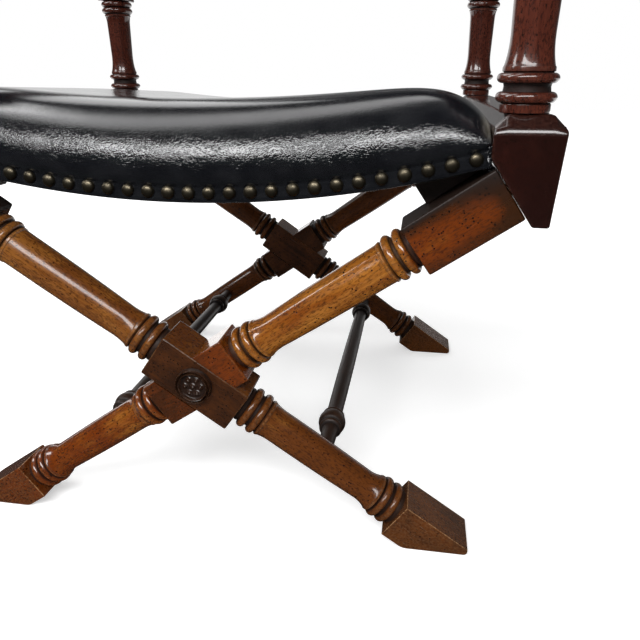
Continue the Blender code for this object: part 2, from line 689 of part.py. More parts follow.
def nail_row_mesh(name: str, count: int,
                  place: Callable[[float, float, float], Vector]) -> bpy.types.Mesh:
    """Return a trim strip with one domed nail head per cell.

    Args:
        name: mesh name.
        count: number of nails.
        place: maps (along, up, out) on the strip to a point of the chair.

    Returns:
        One closed mesh.
    """
    pitch, height, middle = NAIL_PITCH, TRIM_H, TRIM_H / 2
    bm = bmesh.new()
    edges = [(i - count / 2) * pitch for i in range(count + 1)]
    front = [(bm.verts.new(place(a, 0.0, TRIM_T)), bm.verts.new(place(a, height, TRIM_T))) for a in edges]
    rear = [(bm.verts.new(place(a, 0.0, 0.0)), bm.verts.new(place(a, height, 0.0))) for a in edges]
    for i in range(count):
        centre = (edges[i] + edges[i + 1]) / 2
        rim, dome = [], []
        for k in range(8):
            angle = math.pi / 4 * (k + 0.5)
            a, u = math.cos(angle), math.sin(angle)
            rim.append(bm.verts.new(place(centre + NAIL_R * a, middle + NAIL_R * u, TRIM_T)))
            dome.append(bm.verts.new(place(centre + 0.6 * NAIL_R * a, middle + 0.6 * NAIL_R * u,
                                           TRIM_T + 0.8 * NAIL_RISE)))
        tip = bm.verts.new(place(centre, middle, TRIM_T + NAIL_RISE))
        for k in range(8):
            n = (k + 1) % 8
            bm.faces.new((rim[k], rim[n], dome[n], dome[k]))
            bm.faces.new((dome[k], dome[n], tip))
        corners = [front[i + 1][1], front[i][1], front[i][0], front[i + 1][0]]
        for q in range(4):
            first, second = rim[2 * q], rim[2 * q + 1]
            following = rim[(2 * q + 2) % 8]
            bm.faces.new((corners[q], second, first))
            bm.faces.new((corners[q], corners[(q + 1) % 4], following, second))
        bm.faces.new((rear[i][0], rear[i + 1][0], rear[i + 1][1], rear[i][1]))
        bm.faces.new((front[i][0], front[i + 1][0], rear[i + 1][0], rear[i][0]))
        bm.faces.new((front[i][1], front[i + 1][1], rear[i + 1][1], rear[i][1]))
    for i in (0, count):
        bm.faces.new((front[i][0], front[i][1], rear[i][1], rear[i][0]))
    return mesh_from(name, bm, smooth=True)


# Assemblies

def build_base(mats: dict[str, bpy.types.Material], root: bpy.types.Object) -> None:
    """Build the two X frames and the stretchers that tie them."""
    meshes = {"leg": leg_mesh("leg"), "rosette": rosette_mesh("rosette")}
    for side, y, turn, names in (("front", -FRAME_Y, 0.0, ("front_left_leg", "front_right_leg")),
                                 ("rear", FRAME_Y, math.pi, ("rear_right_leg", "rear_left_leg"))):
        carrier = empty(side + "_frame", (0.0, y, 0.0), turn)
        carrier.parent = root
        build_frame(side, carrier, names, mats, meshes)
    stretcher = stretcher_mesh("stretcher")
    for name, sign in (("left_stretcher", -1), ("right_stretcher", 1)):
        piece(name, stretcher, mats["dark_wood"], root, (sign * STRETCHER_X, 0.0, STRETCHER_Z),
              (math.pi / 2, 0.0, 0.0))


def build_rails(mats: dict[str, bpy.types.Material], root: bpy.types.Object) -> None:
    """Build the side rails, their leg dowels and the sockets for the posts."""
    right = rail_mesh("side_rail")
    rails = {1: piece("right_side_rail", right, mats["rail_wood"], root),
             -1: piece("left_side_rail", mirrored(right, "side_rail_left"), mats["rail_wood"], root)}
    for side, sign in (("right", 1), ("left", -1)):
        for end, y in (("front", -FRAME_Y), ("rear", FRAME_Y)):
            name = f"{end}_{side}"
            at_leg = (sign * LEG_END_X, y, LEG_END_Z)
            turn = (0.0, sign * (math.pi / 2 - LEG_ANGLE), 0.0)
            dowel = rod(name + "_rail_dowel", DOWEL_R, -DOWEL_IN_LEG, DOWEL_IN_RAIL)
            piece(name + "_rail_dowel", dowel, mats["pale_wood"], root, at_leg, turn)
            bore = rod(name + "_rail_bore", DOWEL_R + GAP, -CUT_OVER, DOWEL_IN_RAIL + GAP)
            bore_cut = as_cutter(piece(name + "_rail_bore", bore, None, root, at_leg, turn))
            socket = rod(name + "_post_socket", POST_TENON_R + GAP, -POST_TENON_LEN - GAP, CUT_OVER)
            socket_cut = as_cutter(piece(name + "_post_socket", socket, None, root,
                                         (sign * POST_X, y, RAIL_TOP_Z)))
            cut(rails[sign], bore_cut, socket_cut)


def build_posts(mats: dict[str, bpy.types.Material], root: bpy.types.Object
                ) -> dict[int, bpy.types.Object]:
    """Build the four posts and both armrests; return the rear posts by side."""
    front, rear, arm = front_post_mesh("front_post"), rear_post_mesh("rear_post"), armrest_mesh("armrest")
    rear_posts = {}
    for side, sign in (("right", 1), ("left", -1)):
        x = sign * POST_X
        piece(f"front_{side}_post", front, mats["rail_wood"], root, (x, -FRAME_Y, RAIL_TOP_Z))
        rear_posts[sign] = piece(f"rear_{side}_post", rear, mats["rail_wood"], root,
                                 (x, FRAME_Y, RAIL_TOP_Z))
        armrest = piece(f"{side}_armrest", arm, mats["rail_wood"], root, (x, 0.0, ARM_Z))
        soften_edges(armrest, ARM_EDGE_R, 2)
        socket = rod(side + "_arm_socket", ARM_TENON_R + GAP, -CUT_OVER, ARM_TENON_LEN + GAP)
        socket_cut = as_cutter(piece(side + "_arm_socket", socket, None, root, (x, -FRAME_Y, ARM_Z)))
        joint = (x, FRAME_Y - POST_BLOCK / 2, ARM_Z + ARM_THICK / 2)
        along = (-math.pi / 2, 0.0, 0.0)
        dowel = rod(side + "_armrest_dowel", ARM_DOWEL_R, -ARM_DOWEL_LEN / 2, ARM_DOWEL_LEN / 2)
        piece(side + "_armrest_dowel", dowel, mats["pale_wood"], root, joint, along)
        bore = rod(side + "_arm_bore", ARM_DOWEL_R + GAP, -ARM_DOWEL_LEN / 2 - GAP, ARM_DOWEL_LEN / 2 + GAP)
        bore_cut = as_cutter(piece(side + "_arm_bore", bore, None, root, joint, along))
        cut(armrest, socket_cut, bore_cut)
        cut(rear_posts[sign], bore_cut)
    return rear_posts


def build_seat(mats: dict[str, bpy.types.Material], root: bpy.types.Object) -> None:
    """Build the seat's frame, padding, cover, nail rows, wedge blocks and screws."""
    inside = LEATHER + GAP
    half_x, half_y = SEAT_HALF_X - inside, SEAT_HALF_Y - inside - FRAME_INSET
    frame_low = DUST_COVER_T + GAP
    frame_high = frame_low + SEAT_RAIL_H
    deck_low = frame_high + GAP
    deck_high = deck_low + DECK_T
    deck_y = half_y - SEAT_RAIL_T / 2
    slabs = (("seat_dust_cover", -half_y, half_y, 0.0, DUST_COVER_T, "black_cloth"),
             ("seat_front_rail", -half_y, -half_y + SEAT_RAIL_T, frame_low, frame_high, "pale_wood"),
             ("seat_rear_rail", half_y - SEAT_RAIL_T, half_y, frame_low, frame_high, "pale_wood"),
             ("seat_deck", -deck_y, deck_y, deck_low, deck_high, "pale_wood"))
    for name, start, end, low, high, mat in slabs:
        piece(name, curved_slab(name, half_x, (start, end), low, high), mats[mat], root)
    foam = piece("seat_foam", foam_mesh("seat_foam", SEAT_STATIONS, SEAT_PROFILE, seat_point),
                 mats["foam"], root)
    room = curved_slab("seat_frame_room", SEAT_HALF_X, (-SEAT_HALF_Y, SEAT_HALF_Y), -CUT_OVER,
                       deck_high + GAP)
    cut(foam, as_cutter(piece("seat_frame_room", room, None, root)))
    cover = skin_mesh("seat_leather", SEAT_STATIONS, SEAT_PROFILE, seat_point)
    piece("seat_leather", cover, mats["leather"], root)
    bar_y = half_y - SEAT_RAIL_T - GAP
    for side, sign in (("right", 1), ("left", -1)):
        edges = (sign * (half_x - SEAT_RAIL_T), sign * half_x)
        outline = [(x, seat_low(x) + frame_low) for x in edges]
        outline += [(x, seat_low(x) + frame_high) for x in reversed(edges)]
        name = f"seat_{side}_side"
        bar = piece(name, prism(name, outline, -bar_y, bar_y), mats["pale_wood"], root)
        for end, y_sign in (("front", -1), ("rear", 1)):
            build_seat_block(f"{end}_{side}", sign, y_sign, bar, mats, root)
    for end, y_sign in (("front", -1), ("rear", 1)):
        name = f"seat_{end}_nail_row"

        def place(along: float, up: float, out: float, outward: int = y_sign) -> Vector:
            return Vector((along, outward * (SEAT_HALF_Y + GAP + out),
                           seat_low(along) + NAIL_ABOVE_EDGE - TRIM_H / 2 + up))

        row = nail_row_mesh(name, 2 * int(SEAT_HALF_X / NAIL_PITCH), place)
        piece(name, row, mats["brass"], root)


def leg_top(x: float) -> float:
    """Return the height of a leg's upper face, a gap above it."""
    return CROSSING_Z + x * SIN / COS + (HALF_STOCK + GAP) / COS


def block_corner(inner: float) -> float:
    """Return the X where a wedge block's inner end, cut square to the leg, meets the seat."""
    rise = 0.0
    for _ in range(8):
        rise = (seat_low(inner - rise * SIN) - 2 * GAP - leg_top(inner)) / COS
    return inner - rise * SIN


def build_seat_block(name: str, sign: int, y_sign: int, bar: bpy.types.Object,
                     mats: dict[str, bpy.types.Material], root: bpy.types.Object) -> None:
    """Build one wedge block on a leg, and the screw through it into the seat's frame."""
    outer = SEAT_HALF_X - LEATHER - GAP
    inner = outer - SEAT_BLOCK_LEN
    corner = block_corner(inner)
    upper = [corner + (outer - corner) * k / 4 for k in range(5)]
    outline = [(sign * x, seat_low(x) - 2 * GAP) for x in upper]
    outline += [(sign * outer, leg_top(outer)), (sign * inner, leg_top(inner))]
    face_y = FRAME_Y + HALF_STOCK
    ys = sorted((y_sign * (face_y - SEAT_BLOCK_SETBACK),
                 y_sign * (face_y - LEG_STOCK - SEAT_BLOCK_OVERHANG)))
    block = piece(name + "_seat_block", prism(name + "_seat_block", outline, *ys), mats["dark_wood"], root)
    x = outer - SEAT_RAIL_T / 2
    head = leg_top(x) + SEAT_SCREW_SINK - SCREW_HEAD_H - GAP
    length = seat_low(x) + DUST_COVER_T + SEAT_SCREW_IN_FRAME - head
    place = (sign * x, y_sign * (face_y - LEG_STOCK - SEAT_BLOCK_OVERHANG / 2), head)
    screw = rod(name + "_seat_screw", SEAT_SCREW_R, 0.0, length, SCREW_HEAD_R, SCREW_HEAD_H)
    piece(name + "_seat_screw", screw, mats["steel"], root, place)
    hole = rod(name + "_seat_screw_hole", SEAT_SCREW_R + GAP, -SEAT_BLOCK_LEN, length + GAP,
               SCREW_HEAD_R + GAP, SEAT_BLOCK_LEN + SCREW_HEAD_H + GAP)
    hole_cut = as_cutter(piece(name + "_seat_screw_hole", hole, None, root, place))
    cut(block, hole_cut)
    cut(bpy.data.objects["seat_dust_cover"], hole_cut)
    cut(bar, hole_cut)


def back_slab(name: str, half_x: float, half_z: float, front: float, rear: float) -> bpy.types.Mesh:
    """Return a bent board between two distances in front of the back's rear face."""
    rings = []
    for share in spread(BACK_STATIONS, 1.8):
        x = share * half_x
        y = back_rear(x)
        rings.append([Vector((x, y - front, BACK_MID_Z - half_z)), Vector((x, y - rear, BACK_MID_Z - half_z)),
                      Vector((x, y - rear, BACK_MID_Z + half_z)), Vector((x, y - front, BACK_MID_Z + half_z))])
    return mesh_from(name, loft(rings))


def build_back(mats: dict[str, bpy.types.Material], root: bpy.types.Object,
               rear_posts: dict[int, bpy.types.Object]) -> None:
    """Build the back between the rear posts: board, foam, cover, outside panel, nails and bolts."""
    half_x = BACK_HALF_X - LEATHER - GAP
    half_z = BACK_H / 2 - LEATHER - GAP - FRAME_INSET
    board = piece("back_board", back_slab("back_board", half_x, half_z, BACK_BOARD_T, GAP),
                  mats["pale_wood"], root)
    foam = piece("back_foam", foam_mesh("back_foam", BACK_STATIONS, BACK_PROFILE, back_point),
                 mats["foam"], root)
    room = back_slab("back_board_room", BACK_HALF_X, BACK_H / 2, BACK_BOARD_T + GAP, -CUT_OVER)
    cut(foam, as_cutter(piece("back_board_room", room, None, root)))
    leather = piece("back_leather", skin_mesh("back_leather", BACK_STATIONS, BACK_PROFILE, back_point),
                    mats["leather"], root)
    panel = back_slab("back_outside_panel", BACK_HALF_X, BACK_H / 2, -GAP, -GAP - LEATHER)
    piece("back_outside_panel", panel, mats["leather"], root)
    for side, sign in (("right", 1), ("left", -1)):
        for level, z in (("lower", BACK_MID_Z - BACK_H / 2 + BACK_BOLT_INSET),
                         ("upper", BACK_MID_Z + BACK_H / 2 - BACK_BOLT_INSET)):
            name = f"{level}_{side}_back_bolt"
            start = POST_X + POST_HEAD_R + GAP + BACK_BOLT_HEAD_H
            place = (sign * start, FRAME_Y - BACK_FROM_POST / 2, z)
            turn = (0.0, -sign * math.pi / 2, 0.0)
            length = start - half_x + BACK_BOLT_IN
            bolt = rod(name, BACK_BOLT_R, 0.0, length, BACK_BOLT_HEAD_R, BACK_BOLT_HEAD_H)
            piece(name, bolt, mats["brass"], root, place, turn)
            hole = rod(name + "_hole", BACK_BOLT_R + GAP, BACK_BOLT_HEAD_H, length + GAP)
            hole_cut = as_cutter(piece(name + "_hole", hole, None, root, place, turn))
            for drilled in (rear_posts[sign], leather, board):
                cut(drilled, hole_cut)
        x = sign * (BACK_HALF_X - BACK_NAIL_INSET)

        def place_nail(along: float, up: float, out: float, middle: float = x) -> Vector:
            at = middle - TRIM_H / 2 + up
            return Vector((at, back_rear(at) + 2 * GAP + LEATHER + out, BACK_MID_Z + along))

        name = f"back_{side}_nail_row"
        row = nail_row_mesh(name, int(BACK_H / NAIL_PITCH), place_nail)
        piece(name, row, mats["brass"], root)


def main() -> None:
    """Build the chair."""
    clear_scene()
    mats = {
        "leg_wood": material("leg_wood", (0.26, 0.095, 0.03), 0.30),
        "rail_wood": material("rail_wood", (0.085, 0.022, 0.014), 0.28),
        "dark_wood": material("dark_wood", (0.055, 0.024, 0.014), 0.35),
        "pale_wood": material("pale_wood", (0.55, 0.38, 0.22), 0.60),
        "leather": material("leather", (0.012, 0.013, 0.015), 0.32),
        "black_cloth": material("black_cloth", (0.02, 0.02, 0.02), 0.90),
        "foam": material("foam", (0.78, 0.70, 0.52), 0.95),
        "brass": material("brass", (0.16, 0.13, 0.09), 0.38, 1.0),
        "steel": material("steel", (0.45, 0.45, 0.46), 0.35, 1.0),
    }
    root = empty("directors_chair", (0.0, 0.0, 0.0))
    build_base(mats, root)
    build_rails(mats, root)
    rear_posts = build_posts(mats, root)
    build_seat(mats, root)
    build_back(mats, root, rear_posts)


if __name__ == "__main__":
    main()
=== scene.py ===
"""Looks of the directors chair: turned wood, black leather, domed nails and a plain studio.

Metres, +Z up, the chair faces -Y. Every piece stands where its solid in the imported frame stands.
"""

from __future__ import annotations

import json
import logging
import math
import random
from dataclasses import dataclass, field
from enum import Enum
from functools import partial
from typing import Callable, Sequence

import bmesh
import bpy
import numpy as np
from bmesh.types import BMEdge, BMesh
from bpy.types import ID, Material, Node, NodeSocket, NodeTree, Object
from mathutils import Matrix, Vector

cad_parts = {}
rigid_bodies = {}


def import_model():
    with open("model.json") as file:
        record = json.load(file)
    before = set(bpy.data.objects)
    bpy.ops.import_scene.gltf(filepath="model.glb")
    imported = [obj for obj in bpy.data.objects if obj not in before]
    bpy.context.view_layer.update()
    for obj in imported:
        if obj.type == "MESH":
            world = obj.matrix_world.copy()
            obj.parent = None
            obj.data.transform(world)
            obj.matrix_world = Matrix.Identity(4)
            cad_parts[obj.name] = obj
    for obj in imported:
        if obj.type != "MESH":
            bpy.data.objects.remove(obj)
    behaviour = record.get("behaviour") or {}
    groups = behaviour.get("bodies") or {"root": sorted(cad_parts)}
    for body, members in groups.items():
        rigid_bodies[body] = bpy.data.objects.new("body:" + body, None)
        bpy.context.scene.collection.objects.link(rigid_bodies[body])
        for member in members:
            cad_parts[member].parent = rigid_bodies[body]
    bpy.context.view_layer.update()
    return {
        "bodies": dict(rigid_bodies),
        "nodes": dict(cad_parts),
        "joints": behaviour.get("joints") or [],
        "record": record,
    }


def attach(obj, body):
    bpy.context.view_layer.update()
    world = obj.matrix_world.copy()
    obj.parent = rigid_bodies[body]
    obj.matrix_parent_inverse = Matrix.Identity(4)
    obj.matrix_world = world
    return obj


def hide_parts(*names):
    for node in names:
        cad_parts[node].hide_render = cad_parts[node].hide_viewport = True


LOG = logging.getLogger("directors_chair")
BODY = "root"

# Gap between a dressed piece and its neighbour
HAIR = 0.0003
# How near two measures, and a point and a face, count as one
TOUCH = 1e-5
ON_FACE = 2e-5
# How far below a top face a point still belongs to it
TOP_SKIN = 1e-4
# Edges flatter than this aren't rounded
FLAT_EDGE = math.radians(20)
# Faces round a turned piece
TURN_STEPS = 72
# How the grain moves from one piece to the next
GRAIN_SHIFT = Vector((0.731, 0.417, 0.563))
# Places of the colour sockets on a Mix node: the two inputs and the output
MIX_FIRST, MIX_SECOND, MIX_RESULT = 6, 7, 2

# Measures that several sub-assemblies share
LEG_STOCK = 0.050
LEG_ANGLE = math.radians(34.8)
CROSSING_Z = 0.182
FRAME_Y = 0.256
POST_X = 0.29845
RAIL_TOP_Z = 0.44881
LEATHER_THICK = 0.002

Place = tuple[float, float, float]
Colour = tuple[float, float, float]
Outline = list[tuple[float, float]]
Mark = tuple[float, float, float]
Marker = Callable[[Vector], Mark]
Tone = Callable[[float], float]
Planes = list[tuple[Vector, float]]
Inputs = dict[str | int, object]


class Slot(Enum):
    """The record's material slots that built pieces take."""

    LEG_WOOD = "leg_wood"
    RAIL_WOOD = "rail_wood"
    DARK_WOOD = "dark_wood"
    LEATHER = "leather"
    BLACK_CLOTH = "black_cloth"
    BRASS = "brass"


Finishes = dict[Slot, Material]


class Axis(Enum):
    """The direction that a shape runs along."""

    X = "X"
    Y = "Y"
    Z = "Z"


class Edges(Enum):
    """How sharp an edge may be and still be shaded smooth, in degrees."""

    FLAT_FACED = 40.0
    METAL = 50.0
    TURNED = 60.0
    SOFT = 80.0


class Direction(Enum):
    """One of two opposite directions, with its sign."""

    @property
    def word(self) -> str:
        """Return the direction as node names use it."""
        return self.name.lower()


class Side(Direction):
    """The two sides of the chair, with the sign of their X."""

    LEFT = -1
    RIGHT = 1


class End(Direction):
    """The chair's front and rear, with the sign of their Y."""

    FRONT = -1
    REAR = 1


def bell(value: float, at: float, width: float) -> float:
    """Return 1 at a place, falling off smoothly on both sides of it."""
    return math.exp(-((value - at) / width) ** 2)


def ramp(value: float, places: Sequence[float], results: Sequence[float]) -> float:
    """Return a value read off straight lines between places."""
    return float(np.interp(value, places, results))


def clamped(value: float) -> float:
    """Return a value held between 0 and 1."""
    return min(max(value, 0.0), 1.0)


# Shader graphs

class Graph:
    """A short way to write shader nodes into a tree."""

    def __init__(self, tree: NodeTree) -> None:
        """Start on a material's, world's or group's tree."""
        self.tree = tree

    def feed(self, socket: NodeSocket, value: object) -> None:
        """Link a socket to an output, or set it to a plain value.

        Args:
            socket: the input.
            value: an output socket, a number or a tuple; a colour may leave out its alpha.
        """
        if isinstance(value, NodeSocket):
            self.tree.links.new(value, socket)
        elif socket.type == 'RGBA' and len(value) == 3:
            socket.default_value = (*value, 1.0)
        else:
            socket.default_value = value

    def fill(self, node: Node, inputs: Inputs) -> None:
        """Feed several inputs of a node, each given by its name or place."""
        for label, value in inputs.items():
            self.feed(node.inputs[label], value)

    def node(self, kind: str, inputs: Inputs | None = None, **settings: object) -> Node:
        """Add a node.

        Args:
            kind: the node's type name.
            inputs: what its inputs are fed, by name or place.
            settings: attributes to set on it first.

        Returns:
            The new node.
        """
        made = self.tree.nodes.new(kind)
        for key, value in settings.items():
            setattr(made, key, value)
        self.fill(made, inputs or {})
        return made

    def math(self, operation: str, *values: object, clamp: bool = False) -> NodeSocket:
        """Return the result of a Math node, clamped to 0 and 1 if asked."""
        inputs = dict(enumerate(values))
        return self.node("ShaderNodeMath", inputs, operation=operation, use_clamp=clamp).outputs[0]

    def vector(self, operation: str, *values: object, output: str = "Vector") -> NodeSocket:
        """Return the "Vector" or the "Value" of a Vector Math node."""
        return self.node("ShaderNodeVectorMath", dict(enumerate(values)), operation=operation).outputs[output]

    def times(self, first: object, second: object, clamp: bool = False) -> NodeSocket:
        """Return a product."""
        return self.math('MULTIPLY', first, second, clamp=clamp)

    def plus(self, first: object, second: object, share: float, clamp: bool = False) -> NodeSocket:
        """Return a value with a share of another added to it."""
        return self.math('ADD', first, self.times(second, share), clamp=clamp)

    def warped(self, vector: object, by: object, amount: float) -> NodeSocket:
        """Return a vector pushed about by a colour, which is 0.5 where nothing moves."""
        centred = self.vector('SUBTRACT', by, (0.5, 0.5, 0.5))
        return self.vector('MULTIPLY_ADD', centred, (amount, amount, amount), vector)

    def scaled(self, vector: object, scale: float | Place) -> Inputs:
        """Return what a texture's place is fed, for a scale that holds all round or along each axis."""
        apart = isinstance(scale, tuple)
        return {"Vector": self.vector('MULTIPLY', vector, scale) if apart else vector,
                "Scale": 1.0 if apart else scale}

    def noise(self, vector: object, scale: float | Place, detail: float, rough: float = 0.55,
              output: str = "Fac") -> NodeSocket:
        """Return the "Fac" or the "Color" of a noise texture."""
        inputs = {**self.scaled(vector, scale), "Detail": detail, "Roughness": rough}
        return self.node("ShaderNodeTexNoise", inputs).outputs[output]

    def cells(self, vector: object, scale: float | Place, feature: str, **inputs: float) -> NodeSocket:
        """Return the distance of a Voronoi texture, whose other inputs depend on its feature."""
        fed = {**self.scaled(vector, scale), **inputs}
        return self.node("ShaderNodeTexVoronoi", fed, feature=feature).outputs["Distance"]

    def remap(self, value: object, low: float, high: float, to_low: float = 0.0,
              to_high: float = 1.0) -> NodeSocket:
        """Return a value mapped smoothly from one range to another, held at both ends."""
        inputs = {"Value": value, "From Min": low, "From Max": high, "To Min": to_low, "To Max": to_high}
        return self.node("ShaderNodeMapRange", inputs, interpolation_type='SMOOTHSTEP').outputs[0]

    def mix(self, share: object, first: object, second: object, amount: float = 1.0) -> NodeSocket:
        """Return a mix of two colours, where an amount scales the share of the second."""
        inputs = {"Factor": share if amount == 1.0 else self.times(share, amount), MIX_FIRST: first,
                  MIX_SECOND: second}
        return self.node("ShaderNodeMix", inputs, data_type='RGBA', blend_type='MIX').outputs[MIX_RESULT]

    def attribute(self, name: str, output: str = "Fac") -> NodeSocket:
        """Return a mesh attribute's "Vector" or "Fac"."""
        return self.node("ShaderNodeAttribute", attribute_name=name).outputs[output]

    def place(self) -> NodeSocket:
        """Return the place on the object."""
        return self.node("ShaderNodeTexCoord").outputs["Object"]

    def group(self, tree: NodeTree, inputs: Inputs) -> bpy.types.bpy_prop_collection:
        """Place a node group and return its outputs."""
        return self.node("ShaderNodeGroup", inputs, node_tree=tree).outputs


def new_group(name: str, inputs: dict[str, str], outputs: dict[str, str]
              ) -> tuple[Graph, bpy.types.bpy_prop_collection, Node]:
    """Start a shader node group.

    Args:
        name: the group's name.
        inputs: socket kinds of its inputs by name.
        outputs: socket kinds of its outputs by name.

    Returns:
        A graph on its tree, its inputs as sockets to read, and its output node.
    """
    tree = bpy.data.node_groups.new(name, 'ShaderNodeTree')
    for entries, direction in ((inputs, 'INPUT'), (outputs, 'OUTPUT')):
        for label, kind in entries.items():
            tree.interface.new_socket(label, in_out=direction, socket_type="NodeSocket" + kind)
    graph = Graph(tree)
    return graph, graph.node("NodeGroupInput").outputs, graph.node("NodeGroupOutput")


class Effects:
    """The effects that several finishes share, each one node group."""

    surface = {"Color": "Color", "Roughness": "Float", "Height": "Float"}
    speck: Colour = (0.004, 0.002, 0.001)
    # Near-black of dirt and painted shade
    dirt: Colour = (0.008, 0.005, 0.004)
    hide_deep: Colour = (0.0030, 0.0034, 0.0047)
    hide_bloom: Colour = (0.0066, 0.0072, 0.0088)
    hide_rubbed: Colour = (0.190, 0.170, 0.135)

    def __init__(self) -> None:
        """Build every group once."""
        self.wood = self._wood()
        self.creases = self._creases()
        self.tarnish = self._tarnish()

    def _wood(self) -> NodeTree:
        """Build stained wood: streaks and pores along the grain, specks, worn edges, and grime that holds
        dirt and painted shade.

        Returns:
            The group's tree.
        """
        inputs = {"Grain": "Vector", "Wear": "Float", "Grime": "Float", "Tone": "Float", "Light": "Color",
                  "Mid": "Color", "Dark": "Color", "Worn": "Color", "Specks": "Float"}
        g, at, end = new_group("stained_wood", inputs, {**self.surface, "Polish": "Float"})
        along = g.warped(at["Grain"], g.noise(at["Grain"], 11.0, detail=2.0, output="Color"), 0.006)
        streak = g.noise(along, (9.0, 150.0, 150.0), detail=6.0, rough=0.62)
        fine = g.noise(along, (38.0, 700.0, 700.0), detail=4.0, rough=0.6)
        fleck = g.remap(g.noise(along, (210.0, 640.0, 640.0), detail=3.0, rough=0.6), 0.47, 0.64)
        pores = g.remap(g.noise(at["Grain"], (110.0, 1500.0, 1500.0), detail=2.0), 0.57, 0.70)
        blotch = g.noise(at["Grain"], 26.0, detail=3.0)
        body = g.mix(g.remap(streak, 0.36, 0.66, 0.0, 0.6), at["Light"], at["Mid"])
        body = g.mix(g.remap(fine, 0.42, 0.72), body, at["Mid"], amount=0.35)
        # Blotches and streaks shift the stain up and down about its tone.
        deep = g.plus(at["Tone"], g.math('MULTIPLY_ADD', blotch, 1.5, -0.75), 0.40, clamp=True)
        deep = g.plus(deep, g.math('MULTIPLY_ADD', streak, 1.6, -0.8), 0.24, clamp=True)
        body = g.mix(g.remap(deep, 0.0, 0.5), body, at["Mid"])
        body = g.mix(g.remap(deep, 0.45, 1.0), body, at["Dark"])
        body = g.mix(fleck, body, at["Dark"], amount=0.62)
        body = g.mix(pores, body, at["Dark"], amount=0.4)
        # Specks come in clumps.
        spot = g.remap(g.cells(at["Grain"], 225.0, 'F1'), 0.13, 0.27, 1.0, 0.0)
        clump = g.remap(g.noise(at["Grain"], 60.0, detail=1.0), 0.36, 0.52)
        spot = g.times(g.times(spot, clump), at["Specks"])
        body = g.mix(spot, body, self.speck, amount=0.95)
        scuffed = g.remap(g.noise(at["Grain"], 380.0, detail=3.0), 0.34, 0.66)
        wear = g.times(at["Wear"], scuffed, clamp=True)
        body = g.mix(wear, body, at["Worn"], amount=0.8)
        # Grime darkens the wood towards near-black: dirt, with painted shade in grooves and under the seat.
        body = g.mix(at["Grime"], body, self.dirt, amount=0.85)
        rough = g.plus(g.math('MULTIPLY_ADD', fine, 0.18, 0.15), at["Grime"], 0.35)
        height = g.plus(g.times(fine, 0.5), pores, -0.5)
        g.fill(end, {"Color": body, "Roughness": g.plus(rough, wear, 0.12, clamp=True),
                     "Height": g.plus(height, spot, -0.6),
                     "Polish": g.math('SUBTRACT', 1.0, at["Grime"], clamp=True)})
        return g.tree

    def _creases(self) -> NodeTree:
        """Build creased leather: long fine creases, pebble grain and a worn bloom.

        Returns:
            The group's tree.
        """
        g, at, end = new_group("creased_leather", {"Grain": "Vector", "Crease": "Float", "Wear": "Float"},
                               self.surface)
        flow = g.warped(at["Grain"], g.noise(at["Grain"], 14.0, detail=2.0, output="Color"), 0.05)
        flow = g.warped(flow, g.noise(at["Grain"], 170.0, detail=2.0, output="Color"), 0.0045)
        lines = g.remap(g.cells(flow, (170.0, 410.0, 410.0), 'DISTANCE_TO_EDGE'), 0.0, 0.26)
        lesser = g.remap(g.cells(flow, (420.0, 540.0, 540.0), 'DISTANCE_TO_EDGE'), 0.0, 0.30)
        pebble = g.cells(at["Grain"], 1100.0, 'SMOOTH_F1', Smoothness=0.4)
        patch = g.remap(g.noise(at["Grain"], 19.0, detail=2.0), 0.30, 0.60, 0.60, 1.0)
        height = g.plus(g.times(lines, 0.52), lesser, 0.48)
        height = g.times(height, g.times(patch, at["Crease"]))
        height = g.plus(height, pebble, 0.08)
        height = g.plus(height, g.noise(flow, 45.0, detail=2.0), 0.35)
        bloom = g.noise(at["Grain"], 42.0, detail=5.0)
        colour = g.mix(g.remap(bloom, 0.35, 0.75), self.hide_deep, self.hide_bloom)
        # On leather the wear mark is a pale line along the upper end edges.
        colour = g.mix(at["Wear"], colour, self.hide_rubbed, amount=0.7)
        rough = g.math('MULTIPLY_ADD', bloom, 0.10, 0.12)
        g.fill(end, {"Color": colour, "Roughness": rough, "Height": height})
        return g.tree

    def _tarnish(self) -> NodeTree:
        """Build tarnished metal: two tones, dull patches and fine pitting.

        Returns:
            The group's tree.
        """
        g, at, end = new_group("tarnished_metal", {"Grain": "Vector", "Bright": "Color", "Dull": "Color",
                                                   "Wear": "Float"}, self.surface)
        patch = g.remap(g.noise(at["Grain"], 240.0, detail=5.0, rough=0.6), 0.36, 0.66)
        patch = g.plus(patch, at["Wear"], -0.7, clamp=True)
        g.fill(end, {"Color": g.mix(patch, at["Bright"], at["Dull"]),
                     "Roughness": g.math('MULTIPLY_ADD', patch, 0.18, 0.36),
                     "Height": g.noise(at["Grain"], 900.0, detail=3.0)})
        return g.tree


def blank_material(name: str) -> tuple[Material, Graph, Node]:
    """Start a material.

    Args:
        name: the material's name.

    Returns:
        The material, a graph on it and its Principled shader.
    """
    made = bpy.data.materials.new(name)
    made.use_nodes = True
    return made, Graph(made.node_tree), made.node_tree.nodes["Principled BSDF"]


def add_bump(graph: Graph, shader: Node, height: object, distance: float, strength: float) -> None:
    """Feed a shader's normal from a height, whose full step is so many metres deep."""
    made = graph.node("ShaderNodeBump", {"Strength": strength, "Distance": distance, "Height": height})
    graph.feed(shader.inputs["Normal"], made.outputs["Normal"])


